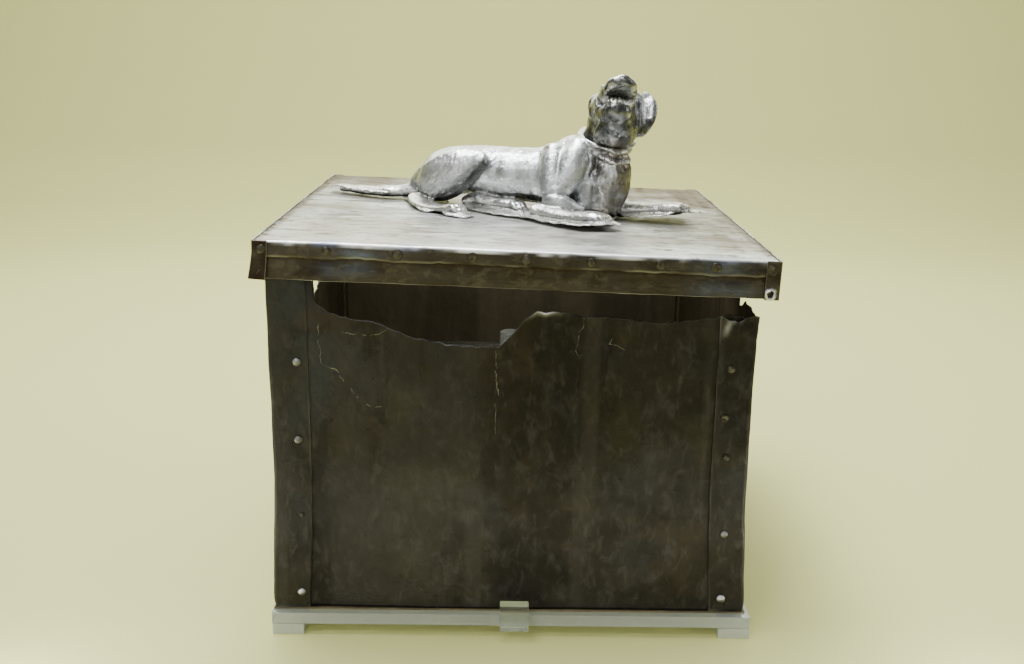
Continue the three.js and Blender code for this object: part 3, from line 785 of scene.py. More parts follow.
# Painted highlights on the lid.
lid_silver.layer((0.93, 0.94, 0.96), lid_silver.attribute("painted_highlight"))
lid_silver.roughness(lid_silver.clouds(30.0, 0.3, 0.7, (0.3, 1.0, 1.0)), 0.28, 0.46)
lid_silver.relief(
    [
        (lid_silver.clouds(46.0, 0.2, 0.8, (0.4, 1.0, 1.0)), 1.0),
        (lid_silver.clouds(200.0, 0.2, 0.8, (0.2, 1.0, 1.0)), 0.4),
    ],
    0.45 * MM,
)

# ---------------------------------------------------------------------------------------------
# Lid. A top sheet with its four edges turned down in a shallow lip, a deeper strip behind the lip
# at the front and back, and side strips whose ends are folded round the corners as tabs.

LID_PLACE = Matrix.Translation((LID_X, 0, LID_TOP)) @ LID_TURN
LID_HALF = 206 * MM
TAB_FACE = 205.8 * MM
LIP_FACE = TAB_FACE - SHEET - GAP
RIM_FACE = LIP_FACE - SHEET - GAP
LIP_SIDE = LID_HALF - SHEET - GAP
SKIRT = 31 * MM
LIP = 13 * MM
TAB = 12 * MM
LID_FOLD = 1.9 * MM
SIDE_FOLD = 0.5 * MM
LID_MASKS = ("edge", "painted_highlight", "skirt", "stain", "blue", "dirt_and_shadow")
LID_CELLS, LIP_CELLS = 196, 13
RIM_COLUMNS, RIM_ROWS = 250, 18
SIDE_RIM_COLUMNS, SIDE_RIM_ROWS = 320, 34
TORN_RIVET = Vector((198.4 * MM, -26.3 * MM))


def stain_at(x, y):
    back = fade(LID_HALF - y, 150 * MM) * 1.15
    corner = fade((Vector((abs(x), y)) - Vector((LID_HALF, LID_HALF))).length, 130 * MM)
    patches = 0.7 + 1.1 * wave((x * 0.5, y, 0), 36 * MM, 31)
    right = fade(LID_HALF - x, 110 * MM) * 0.7 * fade(-y - 120 * MM, 60 * MM)
    sides = fade(LID_HALF - abs(x) - 1 * MM, 9 * MM) * (0.8 + 1.2 * wave((x, y, 0), 9 * MM, 32))
    return (back + 0.5 * corner + right) * patches + sides * (1.2 if x > 0 or y > -120 * MM else 0.8)


def blue_at(x, drop):
    upper, rim = fade(drop, 5 * MM), near(drop, 21 * MM, 7 * MM)
    left = near(x, -147 * MM, 11 * MM) * (0.95 * upper + 0.2 * rim)
    left += near(x, -84 * MM, 13 * MM) * 0.75 * upper
    left += near(x, -125 * MM, 14 * MM) * (0.4 * near(drop, 8 * MM, 4 * MM) + 0.25 * rim)
    return left + near(x, 162 * MM, 20 * MM) * (0.9 * upper + 0.6 * near(drop, 25 * MM, 4 * MM) + 0.15)


def on_lid(point):
    return LID_PLACE @ Vector(point)


def lid_top():
    share = LIP_CELLS / LID_CELLS

    def reach(t, half, fold):
        """Distance from the middle of the sheet before folding: even cells on top, finer lips."""
        t = 2 * t - 1
        flat = half - fold
        if abs(t) <= 1 - share:
            return t / (1 - share) * flat
        turned = fold * math.pi / 2 + LIP - fold
        return math.copysign(flat + (abs(t) - 1 + share) / share * turned, t)

    def folded(s, half, fold):
        """Place across and drop of a point of the sheet once its edge is turned down."""
        flat, bend = half - fold, fold * math.pi / 2
        past = abs(s) - flat
        if past <= 0:
            return s, 0.0, 0.0
        if past <= bend:
            turn = past / fold
            return math.copysign(flat + fold * math.sin(turn), s), fold * (1 - math.cos(turn)), turn
        return math.copysign(half, s), fold + past - bend, math.pi / 2

    def place(across, up):
        x, drop_x, turn_x = folded(reach(across, LIP_SIDE, SIDE_FOLD), LIP_SIDE, SIDE_FOLD)
        y, drop_y, turn_y = folded(reach(up, LIP_FACE, LID_FOLD), LIP_FACE, LID_FOLD)
        drop = max(drop_x, drop_y)
        spot = Vector((x, y, 0))
        from_rim = min(LIP_SIDE - abs(x), LIP_FACE - abs(y))
        inner = fade(25 * MM - from_rim, 25 * MM)
        dents = 1.3 * MM * wave(spot, 130 * MM, 41) + 0.6 * MM * wave(spot, 38 * MM, 43)
        dents += 0.16 * MM * wave(spot, 12 * MM, 45)
        dents = dents * inner - 0.25 * MM + 0.35 * MM * wave(spot, 22 * MM, 46) * (1 - inner)
        ripple = 0.55 * MM * wave(spot, 26 * MM, 47) + 0.25 * MM * wave(spot, 8 * MM, 49)
        low = fade(LIP - drop, LIP - LID_FOLD)
        if drop_y >= drop_x and drop > 0:
            y += math.copysign(ripple * low + 0.25 * MM * low, y)
        elif drop > 0:
            x -= math.copysign(abs(ripple) * low, x)
        gap = LIP - drop
        drop += (1.5 * MM * wave(spot, 30 * MM, 51) + 0.7 * MM * wave(spot, 7 * MM, 53)) * low
        turn = max(turn_x, turn_y)
        front = y < 0 and drop_y > 0
        patchy = 0.55 + 1.1 * wave((x, 0, 0), 34 * MM, 55) + 0.5 * wave((x, drop, 0), 9 * MM, 56)
        # Painted highlights: glints along the folds, strongest at the front, and a sheen on the top near the
        # front edge.
        reach_down = fade(drop - 0.9 * MM - 1.1 * MM * patchy, 1.0 * MM)
        glint = (1.0 if front else 0.2) * (0.25 + patchy) * reach_down
        glint += 0.6 * fade(LIP_FACE + y, 26 * MM) * (0.6 + wave(spot, 55 * MM, 57)) if drop == 0 else 0.0
        worn = (0.45 if gap < 1.0 * MM else 0.0) * (0.4 + wave(spot, 25 * MM, 59))
        worn += 0.3 * near(turn, 0.8, 0.5) * patchy
        skirt = fade(1.9 * MM + 1.4 * MM * wave((x, y, 0), 14 * MM, 58) - drop, 1.2 * MM) if drop > 0 else 0.0
        stain = min(1.0, 1.35 * stain_at(x, y)) if drop == 0 else 0.0
        dirt_and_shadow = 0.8 * fade(gap, 1.6 * MM) * (0.7 + wave(spot, 11 * MM, 60)) * (1 - min(worn, 1.0))
        if drop == 0 and abs(x) > LIP_SIDE - 7 * MM:
            dirt_and_shadow = max(0.0, 6.0 * wave(spot, 6 * MM, 48) - 0.5) * fade(LIP_SIDE - abs(x), 7 * MM)
        blue = blue_at(x, drop) * fade(LIP_FACE - 4 * MM + y, 9 * MM) if y < 0 else 0.0
        return on_lid((x, y, dents - drop)), worn, glint, skirt, stain, blue, dirt_and_shadow

    def keep(across, up):
        return not (abs(2 * across - 1) > 1 - share and abs(2 * up - 1) > 1 - share)

    piece = beaten_sheet("lid_sheet_beaten", LID_CELLS, LID_CELLS, place, LID_MASKS, keep)
    finish_piece(piece, [lid_silver.material, inner.material], "lid_silver", "lid_sheet")


def lid_strip(name, facing):
    end = LIP_SIDE - SHEET - GAP
    top = -SHEET - GAP

    def place(across, up):
        x = (2 * across - 1) * end * -facing
        spot = Vector((x, facing, 0))
        bottom = -SKIRT + 0.7 * MM * wave(spot, 45 * MM, 61) + 0.3 * MM * wave(spot, 9 * MM, 63)
        z = up_to(1 - up, RIM_ROWS, top, bottom, -0.45 * MM)
        low = fade(z - bottom, 17 * MM)
        bulge = 0.7 * MM * wave((x, 0, z), 32 * MM, 65) * low + 0.15 * MM * wave((x, 0, z), 9 * MM, 66)
        free = fade(end - abs(x) - 12 * MM, 12 * MM)
        y = facing * (RIM_FACE + bulge * (1 - free) - 0.15 * MM)
        worn = (0.5 if up == 0 else 0.0) * (0.5 + wave(spot, 28 * MM, 67))
        # Painted highlight along the strip's lower edge.
        painted_shine = (0.45 if up == 0 else 0.0) * max(0.0, wave(spot, 50 * MM, 69) + 0.1)
        blue = blue_at(x, -z) * 0.6 if facing < 0 else 0.0
        # Painted shadow: the strip is darkened just under the lip's edge.
        dirt_and_shadow = 0.85 * fade(-z - LIP - 0.5 * MM, 3.5 * MM) * (0.8 + 0.6 * wave(spot, 20 * MM, 68))
        return on_lid((x, y, z)), worn, painted_shine, 1.0, 0.0, blue, dirt_and_shadow

    piece = beaten_sheet(f"{name}_beaten", RIM_COLUMNS, RIM_ROWS, place, LID_MASKS)
    finish_piece(piece, [lid_silver.material, inner.material], "lid_silver", name)


def lid_side_strip(name, side):
    at, length = channel(LID_HALF, TAB_FACE, TAB, 1.6 * MM)
    stretch = 15 * MM

    def spread(across):
        """Three tenths of the columns go to each corner tab, which carries the finer shapes."""
        if across < 0.15:
            return across / 0.15 * stretch
        if across > 0.85:
            return length - (1 - across) / 0.15 * stretch
        return stretch + (across - 0.15) / 0.7 * (length - 2 * stretch)

    def place(across, up):
        distance = spread(across if side > 0 else 1 - across)
        x, y, nx, ny = at(distance)
        spot = Vector((side * x, y, 0))
        bottom = -SKIRT + 0.8 * MM * wave(spot, 40 * MM, 71) + 0.35 * MM * wave(spot, 8 * MM, 73)
        z = up_to(1 - up, SIDE_RIM_ROWS, 0, bottom, -0.4 * MM) - 0.1 * MM
        hammered = 1.0 if up == 1 and abs(ny) < 0.99 else 0.0
        ragged = 1.6 * MM * max(0.0, wave(spot, 3.4 * MM, 74) - 0.1) * (1.0 if side > 0 else 0.6)
        z += hammered * (0.15 * MM + ragged)
        tab = 1.0 if abs(ny) > 0.99 else 0.0
        low = fade(z - bottom, 22 * MM)
        swell = 0.35 * MM * abs(wave((0, y, z), 40 * MM, 75)) * (1 - tab) * fade(abs(y) - 190 * MM, 12 * MM)
        flare = 2.6 * MM * low**1.5 * tab * fade(distance, TAB) if side < 0 else 0.5 * MM * low * tab
        offset = swell + flare + 0.15 * MM * wave((side * x, y, z), 8 * MM, 76) * tab - 0.35 * MM * hammered
        point = Vector((side * (x + nx * offset), y + ny * offset, z))
        if side < 0 and y < 0:
            past = distance - TAB
            splay = 0.35 + 0.65 * fade(-past, TAB) if past < 0 else fade(past, 34 * MM)
            point.x -= 3.2 * MM * low**1.3 * splay
        curl = 0.0
        if side > 0 and y < 0 and tab:
            hole = Vector((point.x, point.z)) - TORN_RIVET
            ring = hole.length
            rim_radius = 3.4 * MM + 0.9 * MM * wave((hole.x, hole.y, 0), 2.5 * MM, 77)
            if ring < rim_radius + 2.5 * MM:
                pushed = max(ring, rim_radius)
                curl = fade(pushed - rim_radius, 2.0 * MM)
                hole = hole.normalized() * pushed if ring > 0 else hole
                point.x, point.z = TORN_RIVET.x + hole.x, TORN_RIVET.y + hole.y
                point.y -= 1.3 * MM * curl * (1 if hole.y < 0 or hole.x < 0 else 0.4)
        rub = 0.45 + wave(spot, 25 * MM, 79)
        worn = (0.8 if up in (0, 1) else 0.0) * rub + 0.2 * near(nx * nx, 0.5, 0.3) * rub
        worn += 0.6 * fade(distance, 0.5 * MM) * rub + 0.6 * fade(length - distance, 0.5 * MM) * rub
        worn *= 1 - hammered
        skirt = 0.0 if up == 1 and not tab else 1.0
        dirt_and_shadow = 0.95 * tab * (0.6 + 0.4 * fade(distance, TAB)) * (0.9 + wave(point, 9 * MM, 78))
        # The curled rim round the torn rivet hole gets a painted highlight.
        return on_lid(point), worn, 0.9 * curl, skirt, 0.0, 0.0, dirt_and_shadow if side < 0 else 0.0

    def keep(across, up):
        distance = spread(across if side > 0 else 1 - across)
        x, y, _, ny = at(distance)
        if side < 0 or y > 0 or abs(ny) < 0.99:
            return True
        return (Vector((x, -SKIRT * (1 - up))) - TORN_RIVET).length > 3.0 * MM

    piece = beaten_sheet(f"{name}_beaten", SIDE_RIM_COLUMNS, SIDE_RIM_ROWS, place, LID_MASKS, keep)
    finish_piece(piece, [lid_silver.material, inner.material], "lid_silver", name)


lid_top()
lid_strip("lid_rim_front", -1)
lid_strip("lid_rim_back", 1)
lid_side_strip("lid_rim_left", -1)
lid_side_strip("lid_rim_right", 1)

# ---------------------------------------------------------------------------------------------
# Dog silver: brighter and smoother than the sheets, blackened in its hollows and gone brown at the
# throat, with painted shade under the body and over the front of the head and painted highlights on
# its raised forms. The flat sheet left round the legs and tail is paler and duller.

dog_silver = Finish("dog silver", (0.72, 0.745, 0.76), Metallic=0.92)
dog_silver.clouded(
    [
        ((0.37, 0.39, 0.405), 0.7, 34.0, 0.47, 0.66, (1.0, 1.0, 1.0), 0.5),
        ((0.92, 0.93, 0.94), 0.6, 80.0, 0.48, 0.66),
    ]
)
dog_silver.layer((0.84, 0.84, 0.80), dog_silver.attribute("matte"), 0.85)
dog_silver.clouded([((0.34, 0.34, 0.33), 0.5, 240.0, 0.56, 0.68)])
# Painted shade.
dog_silver.layer((0.040, 0.041, 0.040), dog_silver.attribute("shade"), 0.94)
dog_silver.clouded_where("shade", [((0.19, 0.195, 0.19), 0.7, 110.0, 0.45, 0.62)])
dog_silver.clouded_where("tarnish", [((0.20, 0.165, 0.11), 0.8, 70.0, 0.3, 0.55)])
# Blackened hollows, with painted shade under the belly and deep in the mouth.
dog_silver.layer((0.040, 0.038, 0.032), dog_silver.attribute("patina_and_shade"), 0.92)
# Painted highlights.
dog_silver.layer((0.93, 0.94, 0.96), dog_silver.attribute("painted_highlight"), 0.95)
dog_silver.roughness(dog_silver.clouds(90.0, 0.3, 0.7), 0.20, 0.36)
dog_silver.relief(
    [(dog_silver.clouds(180.0, 0.2, 0.8), 0.8), (dog_silver.clouds(600.0, 0.2, 0.8), 0.3)], 0.3 * MM
)

# ---------------------------------------------------------------------------------------------
# Dog. Beaten from thin sheet in two parts joined at the collar. It lies with its forelegs towards
# the front of the lid, its near hind leg folded under the haunch and its tail laid out flat behind.
# Sizes in this section are millimetres from the middle of the lid's top; each row of a limb is
# x, y, z, half-breadth, half-height.

DOG_PLACE = LID_PLACE @ Matrix.Translation((0, 0, GAP)) @ Matrix.Scale(MM, 4)
COLLAR = np.array((82.0, -17.0, 73.4))
COLLAR_UP = np.array((0.10, -0.33, 0.94)) / np.linalg.norm((0.10, -0.33, 0.94))
COLLAR_REACH = 36

TRUNK = [
    (-97, 42, 14, 12, 10), (-89, 40, 20, 18, 14), (-78, 37, 25, 24, 20), (-64, 31, 30, 28, 23.5),
    (-40, 22, 34, 27, 23), (-18, 15, 33, 27, 25), (4, 8, 32.5, 27.5, 25.5), (22, 2, 33, 28, 27),
    (36, -2, 34, 28, 31), (50, -6, 36, 27, 36), (66, -9.5, 38, 26, 37), (82, -12.5, 38, 24, 35),
    (90, -14, 37, 19, 32), (96, -15.5, 37, 13, 28), (100, -16, 37, 6, 22),
]
NECK = [(64, -8, 44, 27, 28), (72, -11, 58, 26, 26), (79, -14.5, 69, 25, 24.5), (84, -18.5, 80, 24, 23)]
BREAST = [(84, -30, 62, 15, 10), (85, -35, 48, 18, 13), (82, -36, 28, 19.5, 13), (77, -35, 10, 17, 10)]
CREVICE = [(68, -30, 54, 12, 10), (67, -34, 38, 12, 10), (64, -36, 22, 12, 9), (66, -36, 11, 11, 8)]
SHOULDER = [(54, -20, 64, 12, 12), (53, -27, 54, 16, 15), (48, -32, 42, 16, 15), (38, -37, 27, 12.5, 12),
            (29, -41, 18, 9, 10)]
UPPER_ARM = [(34, -19, 60, 12, 10), (33, -26, 48, 14, 12), (32, -33, 35, 14, 12), (30, -39, 21, 10, 10)]
ELBOW = [(26, -43, 15, 6, 6), (34, -46.5, 16.5, 9, 8), (43, -48, 15, 8.5, 7), (52, -48, 12.5, 6.5, 5),
         (60, -47, 10, 3.5, 3)]
NEAR_FORELEG = [(18, -41, 6, 10, 7.5), (32, -52, 5.5, 11.5, 6.5), (46, -64, 5.5, 12, 5.8),
                (58, -75, 6.8, 11.5, 6), (68, -83, 8.2, 11.5, 6.2), (76, -89, 8, 9.5, 5)]
FAR_FORELEG = [(84, -18, 8, 10, 9), (102, -24, 8, 10, 7), (122, -31, 10, 9.5, 6),
               (138, -37, 12.5, 9.5, 6.2), (150, -41, 14, 9.5, 5.5)]
THIGH = [(-88, 15, 18, 10, 14), (-80, 9, 22, 14.5, 20), (-67, 3, 29.5, 15.5, 22.5), (-52, -4, 38.5, 13.5, 19),
         (-40, -8, 44.5, 10.5, 12.5), (-32, -11, 47, 7, 8)]
NEAR_HIND_FOOT = [(-96, 14, 6, 9, 5), (-90, -4, 4, 12, 4), (-80, -20, 2.6, 12, 3.4),
                  (-69, -33, 3, 11, 4), (-60, -43, 4.5, 10, 4.8), (-55, -48, 4.2, 8.5, 4)]
FAR_HIND_FOOT = [(-50, 6, 5, 6, 4.6), (-41, 4, 7.5, 7.5, 6), (-29, -3, 7.5, 7.5, 5.8), (-17, -8, 6.5, 8, 5.4),
                 (-6, -15, 7, 9, 6), (1, -21, 6.2, 8, 5.4)]
HOCK = [(-38, -4, 11, 3.4, 3.0), (-35, -5, 11.2, 3.6, 3.2)]
TAIL = [(-98, 40, 11, 9, 7), (-112, 43, 7.5, 9, 6), (-128, 46, 6, 8.5, 5.5), (-146, 53, 5, 8, 4.5),
        (-162, 62, 4.5, 6.5, 3.5), (-176, 71, 3, 4, 2.5)]
PAWS = [  # tip of the paw, and the way it points
    ((79, -92, 8.0), (0.80, -0.60)), ((156, -43, 12.5), (0.88, -0.47)),
    ((-51, -52, 5.4), (0.74, -0.67)), ((4, -26, 6.4), (0.66, -0.75)),
]


def smooth_line(rows, steps):
    """More rows along a smooth line through the given ones."""
    rows = [np.array(row, float) for row in rows]
    ends = [2 * rows[0] - rows[1], *rows, 2 * rows[-1] - rows[-2]]
    line = []
    for a, b, c, d in zip(ends, ends[1:], ends[2:], ends[3:]):
        for t in np.arange(steps) / steps:
            line.append(b + 0.5 * t * (c - a + t * (2 * a - 5 * b + 4 * c - d + t * (3 * (b - c) + d - a))))
    return [*line, rows[-1]]


def add_limb(bm, rows, facing=(0, 0, 1), sides=20, steps=4):
    """A closed rounded limb: rings set along a smooth line and bridged, with domed ends."""
    line = smooth_line(rows, steps)
    facing = Vector(facing)
    rings = []
    last = len(line) - 1
    for index, row in enumerate(line):
        ahead = Vector(line[min(index + 1, last)][:3]) - Vector(line[max(index - 1, 0)][:3])
        ahead.normalize()
        across = ahead.cross(facing).normalized()
        upward = across.cross(ahead)
        breadth, height = max(row[3], 0.4), max(row[4], 0.4)
        dome = 0.55 * min(breadth, height)
        stops = [(0.0, 1.0)]
        if index == 0:
            stops = [(-dome * math.cos(a), math.sin(a)) for a in (0.25, 0.8, 1.2)] + stops
        if index == last:
            stops = stops + [(dome * math.cos(a), math.sin(a)) for a in (1.2, 0.8, 0.25)]
        for shift, scale in stops:
            centre = Vector(row[:3]) + ahead * shift
            turn = Matrix((across * breadth * scale, upward * height * scale, ahead)).transposed().to_4x4()
            ring = bmesh.ops.create_circle(
                bm, segments=sides, radius=1.0, matrix=Matrix.Translation(centre) @ turn
            )["verts"]
            rings.append(list({edge for vert in ring for edge in vert.link_edges}))
    for before, after in zip(rings, rings[1:]):
        bmesh.ops.bridge_loops(bm, edges=before + after)
    bmesh.ops.holes_fill(bm, edges=rings[0] + rings[-1])


def add_paw(bm, tip, way):
    """Four toes side by side, each with a claw."""
    tip, ahead = Vector(tip), Vector((*way, 0)).normalized()
    across = ahead.cross(Vector((0, 0, 1)))
    for place in (-1.5, -0.5, 0.5, 1.5):
        middle = abs(place) < 1
        knuckle = tip - ahead * (8 if middle else 9) + across * place * 3.6 + Vector((0, 0, 1.4))
        end = tip + ahead * (1.5 if middle else -1) + across * place * 4.3 - Vector((0, 0, 0.8))
        mid = (knuckle + end) / 2 + Vector((0, 0, 1.6))
        add_limb(bm, [(*knuckle, 2.6, 2.6), (*mid, 2.8, 3.1), (*end, 2.3, 2.2)], sides=12)
        claw = end + ahead * 3.4 + across * place * 0.3 - Vector((0, 0, 1.6))
        add_limb(bm, [(*(end + ahead), 1.4, 1.5), (*claw, 0.8, 0.8)], sides=8)


def grown_skin(name, bm, voxel, passes):
    """One skin over closed limbs that run into each other."""
    bmesh.ops.recalc_face_normals(bm, faces=bm.faces)
    rough = piece_from(bm, name)
    skin = rough.modifiers.new("skin", "REMESH")
    skin.mode = "VOXEL"
    skin.voxel_size = voxel
    soft = rough.modifiers.new("soft", "SMOOTH")
    soft.factor = 0.5
    soft.iterations = passes
    mesh = shown_mesh(rough)
    bpy.data.objects.remove(rough)
    return mesh


class Chasing:
    """A skin being worked: its points, and the tools that press, raise and darken them."""

    def __init__(self, mesh):
        self.mesh = mesh
        self.points = np.empty(len(mesh.vertices) * 3)
        mesh.vertices.foreach_get("co", self.points)
        self.points = self.points.reshape(-1, 3)
        ends = np.empty(len(mesh.edges) * 2, int)
        mesh.edges.foreach_get("vertices", ends)
        self.ends = ends.reshape(-1, 2)
        self.degree = np.bincount(ends, minlength=len(self.points))
        names = ("patina_and_shade", "tarnish", "matte", "painted_highlight", "shade")
        self.masks = {name: np.zeros(len(self.points)) for name in names}
        self.update()

    def update(self):
        self.mesh.vertices.foreach_set("co", self.points.ravel())
        self.mesh.update()
        self.normals = np.empty(len(self.points) * 3)
        self.mesh.vertex_normals.foreach_get("vector", self.normals)
        self.normals = self.normals.reshape(-1, 3)

    def averaged(self, values, passes):
        """Values relaxed over the skin by taking each point's neighbours' mean again and again."""
        values = values.copy()
        a, b = self.ends.T
        for _ in range(passes):
            total = np.zeros_like(values)
            columns = total.reshape(len(total), -1)
            given = values.reshape(len(values), -1)
            for axis in range(given.shape[1]):
                columns[:, axis] = np.bincount(a, given[b, axis], len(total))
                columns[:, axis] += np.bincount(b, given[a, axis], len(total))
            values = total / (self.degree[:, None] if values.ndim > 1 else self.degree)
        return values

    def away(self, path):
        """Distance of every point from a line of points."""
        path = [np.array(point, float) for point in path]
        if len(path) == 1:
            return np.linalg.norm(self.points - path[0], axis=1)
        nearest = np.full(len(self.points), np.inf)
        for start, end in zip(path, path[1:]):
            line = end - start
            share = np.clip((self.points - start) @ line / (line @ line), 0, 1)
            off = np.linalg.norm(self.points - start - share[:, None] * line, axis=1)
            nearest = np.minimum(nearest, off)
        return nearest

    def near(self, path, width, power=2):
        """1 along a line of points, falling to 0 away from it."""
        return np.exp(-((self.away(path) / width) ** power))

    def patches(self, size, at=(0, 0, 0)):
        """Smooth noise over the skin, its hills about one size across."""
        return np.array([noise.noise(Vector(point) / size + Vector(at)) for point in self.points])

    def at_least(self, mask, values):
        self.masks[mask] = np.maximum(self.masks[mask], values)

    def push(self, path, width, height, facing=None):
        """Raises the skin along a line, or presses it in where the height is below 0."""
        amount = height * self.near(path, width)
        if facing is not None:
            amount = amount * np.clip(self.normals @ np.array(facing, float) * 2, 0, 1)
        self.points = self.points + self.normals * amount[:, None]

    def strokes(self, inside, way, count, length, width, depth, draw):
        """Short chased hairs over the part of the skin where inside is true."""
        chosen = np.flatnonzero(inside)
        if not len(chosen):
            return
        amount = np.zeros(len(self.points))
        local = self.points[chosen]
        for _ in range(count):
            seat = chosen[draw.randrange(len(chosen))]
            start, normal = self.points[seat], self.normals[seat]
            line = np.array(way(start), float) + np.array([draw.gauss(0, 0.16) for _ in range(3)])
            line -= normal * (line @ normal)
            line *= draw.uniform(0.6, 1.2) * length / max(np.linalg.norm(line), 1e-6)
            share = np.clip((local - start) @ line / (line @ line), 0, 1)
            off = np.linalg.norm(local - start - share[:, None] * line, axis=1)
            taper = np.sin(math.pi * (0.12 + 0.8 * share))
            press = depth * taper * np.exp(-((off / width) ** 2))
            amount[chosen] = np.maximum(amount[chosen], press)
        self.points = self.points - self.normals * amount[:, None]

    def darken(self, passes, reach, weight=1.0):
        """Blackens hollows: where the skin lies below its own relaxed shape."""
        below = np.einsum("ij,ij->i", self.averaged(self.points, passes) - self.points, self.normals)
        self.at_least("patina_and_shade", weight * np.clip(below / reach, 0, 1))

    def finished(self):
        self.update()
        for name, values in self.masks.items():
            attribute = self.mesh.attributes.new(name, "FLOAT", "POINT")
            attribute.data.foreach_set("value", np.clip(values, 0, 1).astype(np.float32))
        return self.mesh


def cut_at(mesh, place, outward):
    """Trims a skin flat at a plane and closes it."""
    bm = bmesh.new()
    bm.from_mesh(mesh)
    bmesh.ops.bisect_plane(
        bm, geom=bm.verts[:] + bm.edges[:] + bm.faces[:], plane_co=place, plane_no=outward, clear_outer=True
    )
    bmesh.ops.holes_fill(bm, edges=[edge for edge in bm.edges if edge.is_boundary])
    bm.to_mesh(mesh)
    bm.free()
    return mesh


def ramp(values, low, high):
    return np.clip((values - low) / (high - low), 0, 1)


def body_skin():
    bm = bmesh.new()
    for rows in (TRUNK, NEAR_FORELEG, FAR_FORELEG, THIGH, NEAR_HIND_FOOT, FAR_HIND_FOOT, TAIL, ELBOW, HOCK):
        add_limb(bm, rows)
    for rows in (NECK, BREAST, CREVICE, SHOULDER, UPPER_ARM):
        add_limb(bm, rows, facing=(0, -1, 0))
    for tip, way in PAWS:
        add_paw(bm, tip, way)
    body = Chasing(grown_skin("dog_rough", bm, 1.1, 4))
    x, y, z = body.points.T
    draw = random.Random(7)

    lumps = body.patches(16) + 0.4 * body.patches(6, (9, 0, 0))
    body.points = body.points + body.normals * (0.7 * lumps)[:, None]

    front = (0, -1, 0.2)
    for path, width, height in (
        ([(-20, -10, 50), (-22, -13, 34), (-26, -12, 22)], 5.0, -1.2),  # flank behind the thigh
        ([(70, -34, 62), (70, -40, 50), (63, -47, 38), (54, -50, 29)], 2.2, -2.2),  # shoulder's edge
        ([(38, -22, 60), (36.5, -29, 48), (39, -35, 37), (50, -44, 27)], 3.0, -0.4),  # behind the shoulder
        ([(28, -26, 46), (27, -33, 36), (28, -39, 26)], 5.0, 0.8),  # upper arm
        ([(17, -16, 56), (18, -23, 42), (18, -27, 28), (17, -25, 15)], 4.2, -1.6),  # groove behind the arm
        ([(22, -46, 22), (34, -52, 24), (50, -52, 22)], 1.8, -1.3),  # fold over the elbow
        ([(66, -46, 44), (60, -50, 37), (54, -52, 32)], 1.6, 1.8),  # lit ridge by the arm
        ([(-70, -8, 25), (-58, -10, 31), (-47, -14, 35)], 2.0, -1.4),  # folds at the knee
        ([(-84, -2, 24), (-72, -6, 20), (-60, -9, 22)], 2.2, -0.9),
        ([(-33, -18, 50), (-40, -18, 38), (-52, -14, 26)], 2.4, 1.2),
        ([(62, -30, 70), (68, -36, 58), (72, -42, 44)], 2.5, -1.4),
        ([(76, -40, 60), (80, -46, 46), (78, -48, 30)], 3.0, -1.2),
        ([(94, -36, 52), (92, -44, 38), (88, -46, 22)], 3.5, -1.2),
        ([(70, -44, 30), (74, -48, 18)], 3.0, -1.6),
        ([(80, -48, 12), (92, -42, 8)], 4.0, 1.2),
    ):
        body.push(path, width, height, front)
    for tip, way in PAWS:
        tip, way = np.array(tip, float), np.array((*way, 0.0))
        side = np.array((way[1], -way[0], 0.0))
        for place in (-1, 0, 1):
            seat = tip + side * place * 4.2 + (0, 0, 2)
            body.push([seat - way * 9, seat + way * 2], 0.9, -1.1, (0, 0, 1))
    body.update()

    rump = (x < -62) & (x > -106) & (z > 8) & (y < 46)
    body.strokes(rump, lambda q: (-0.75, -0.2, -0.6), 200, 7, 1.1, 0.35, draw)
    hip_side = (x < -20) & (x > -62) & (z > 30) & (y < 8)
    body.strokes(hip_side, lambda q: (-0.5, -0.2, -0.8), 120, 6, 0.9, 0.55, draw)
    ruff = (x > 58) & (z > 34) & (z < 66) & (y < -16)
    body.strokes(ruff, lambda q: (0.15 * (q[0] - 78) / 10, -0.3, -1.0), 150, 9, 1.4, 0.7, draw)
    body.strokes((x > 60) & (z > 6) & (z < 36) & (y < -16), lambda q: (-0.2, -0.3, -1), 60, 8, 1.8, 0.5, draw)
    body.strokes((x > -30) & (x < 40) & (z > 18), lambda q: (-0.8, 0, -0.4), 160, 6, 0.9, 0.35, draw)
    body.strokes((x < -104) & (z > 2), lambda q: (-0.9, 0.4, 0), 90, 8, 0.9, 0.5, draw)
    body.strokes((x > 40) & (z > 50) & (y > -24), lambda q: (-0.5, 0.1, -0.7), 120, 7, 0.9, 0.5, draw)
    body.update()

    from_seam = (body.points - COLLAR) @ COLLAR_UP
    radial = body.points - COLLAR - from_seam[:, None] * COLLAR_UP
    reach = np.linalg.norm(radial, axis=1)
    band = np.exp(-(((from_seam + 1.6) / 1.3) ** 2)) + 0.9 * np.exp(-(((from_seam + 8.6) / 1.4) ** 2))
    band -= 0.6 * np.exp(-(((from_seam + 5) / 1.9) ** 2)) + 1.1 * np.exp(-(((from_seam + 11.6) / 1.5) ** 2))
    band = np.where(reach < COLLAR_REACH, band, 0) * np.where(body.points[:, 0] < 66, 0.5, 1.6)
    body.points = body.points + radial / np.maximum(reach, 1)[:, None] * band[:, None]
    body.push([(75, -39, 66.5)], 2.6, 2.4)
    body.push([(79, -40, 65)], 1.6, 1.4)
    body.update()

    x, y, z = body.points.T
    body.darken(3, 0.28, 0.28)
    body.masks["patina_and_shade"] *= np.where(x > 56, 1.4, 1.0)
    body.darken(30, 2.2, 0.7)
    body.masks["patina_and_shade"] *= np.where((x < -50) & (z > 16), 0.45, 1.0)
    body.masks["patina_and_shade"] *= np.where((x > 20) & (x < 48) & (z > 26), 0.45, 1.0)
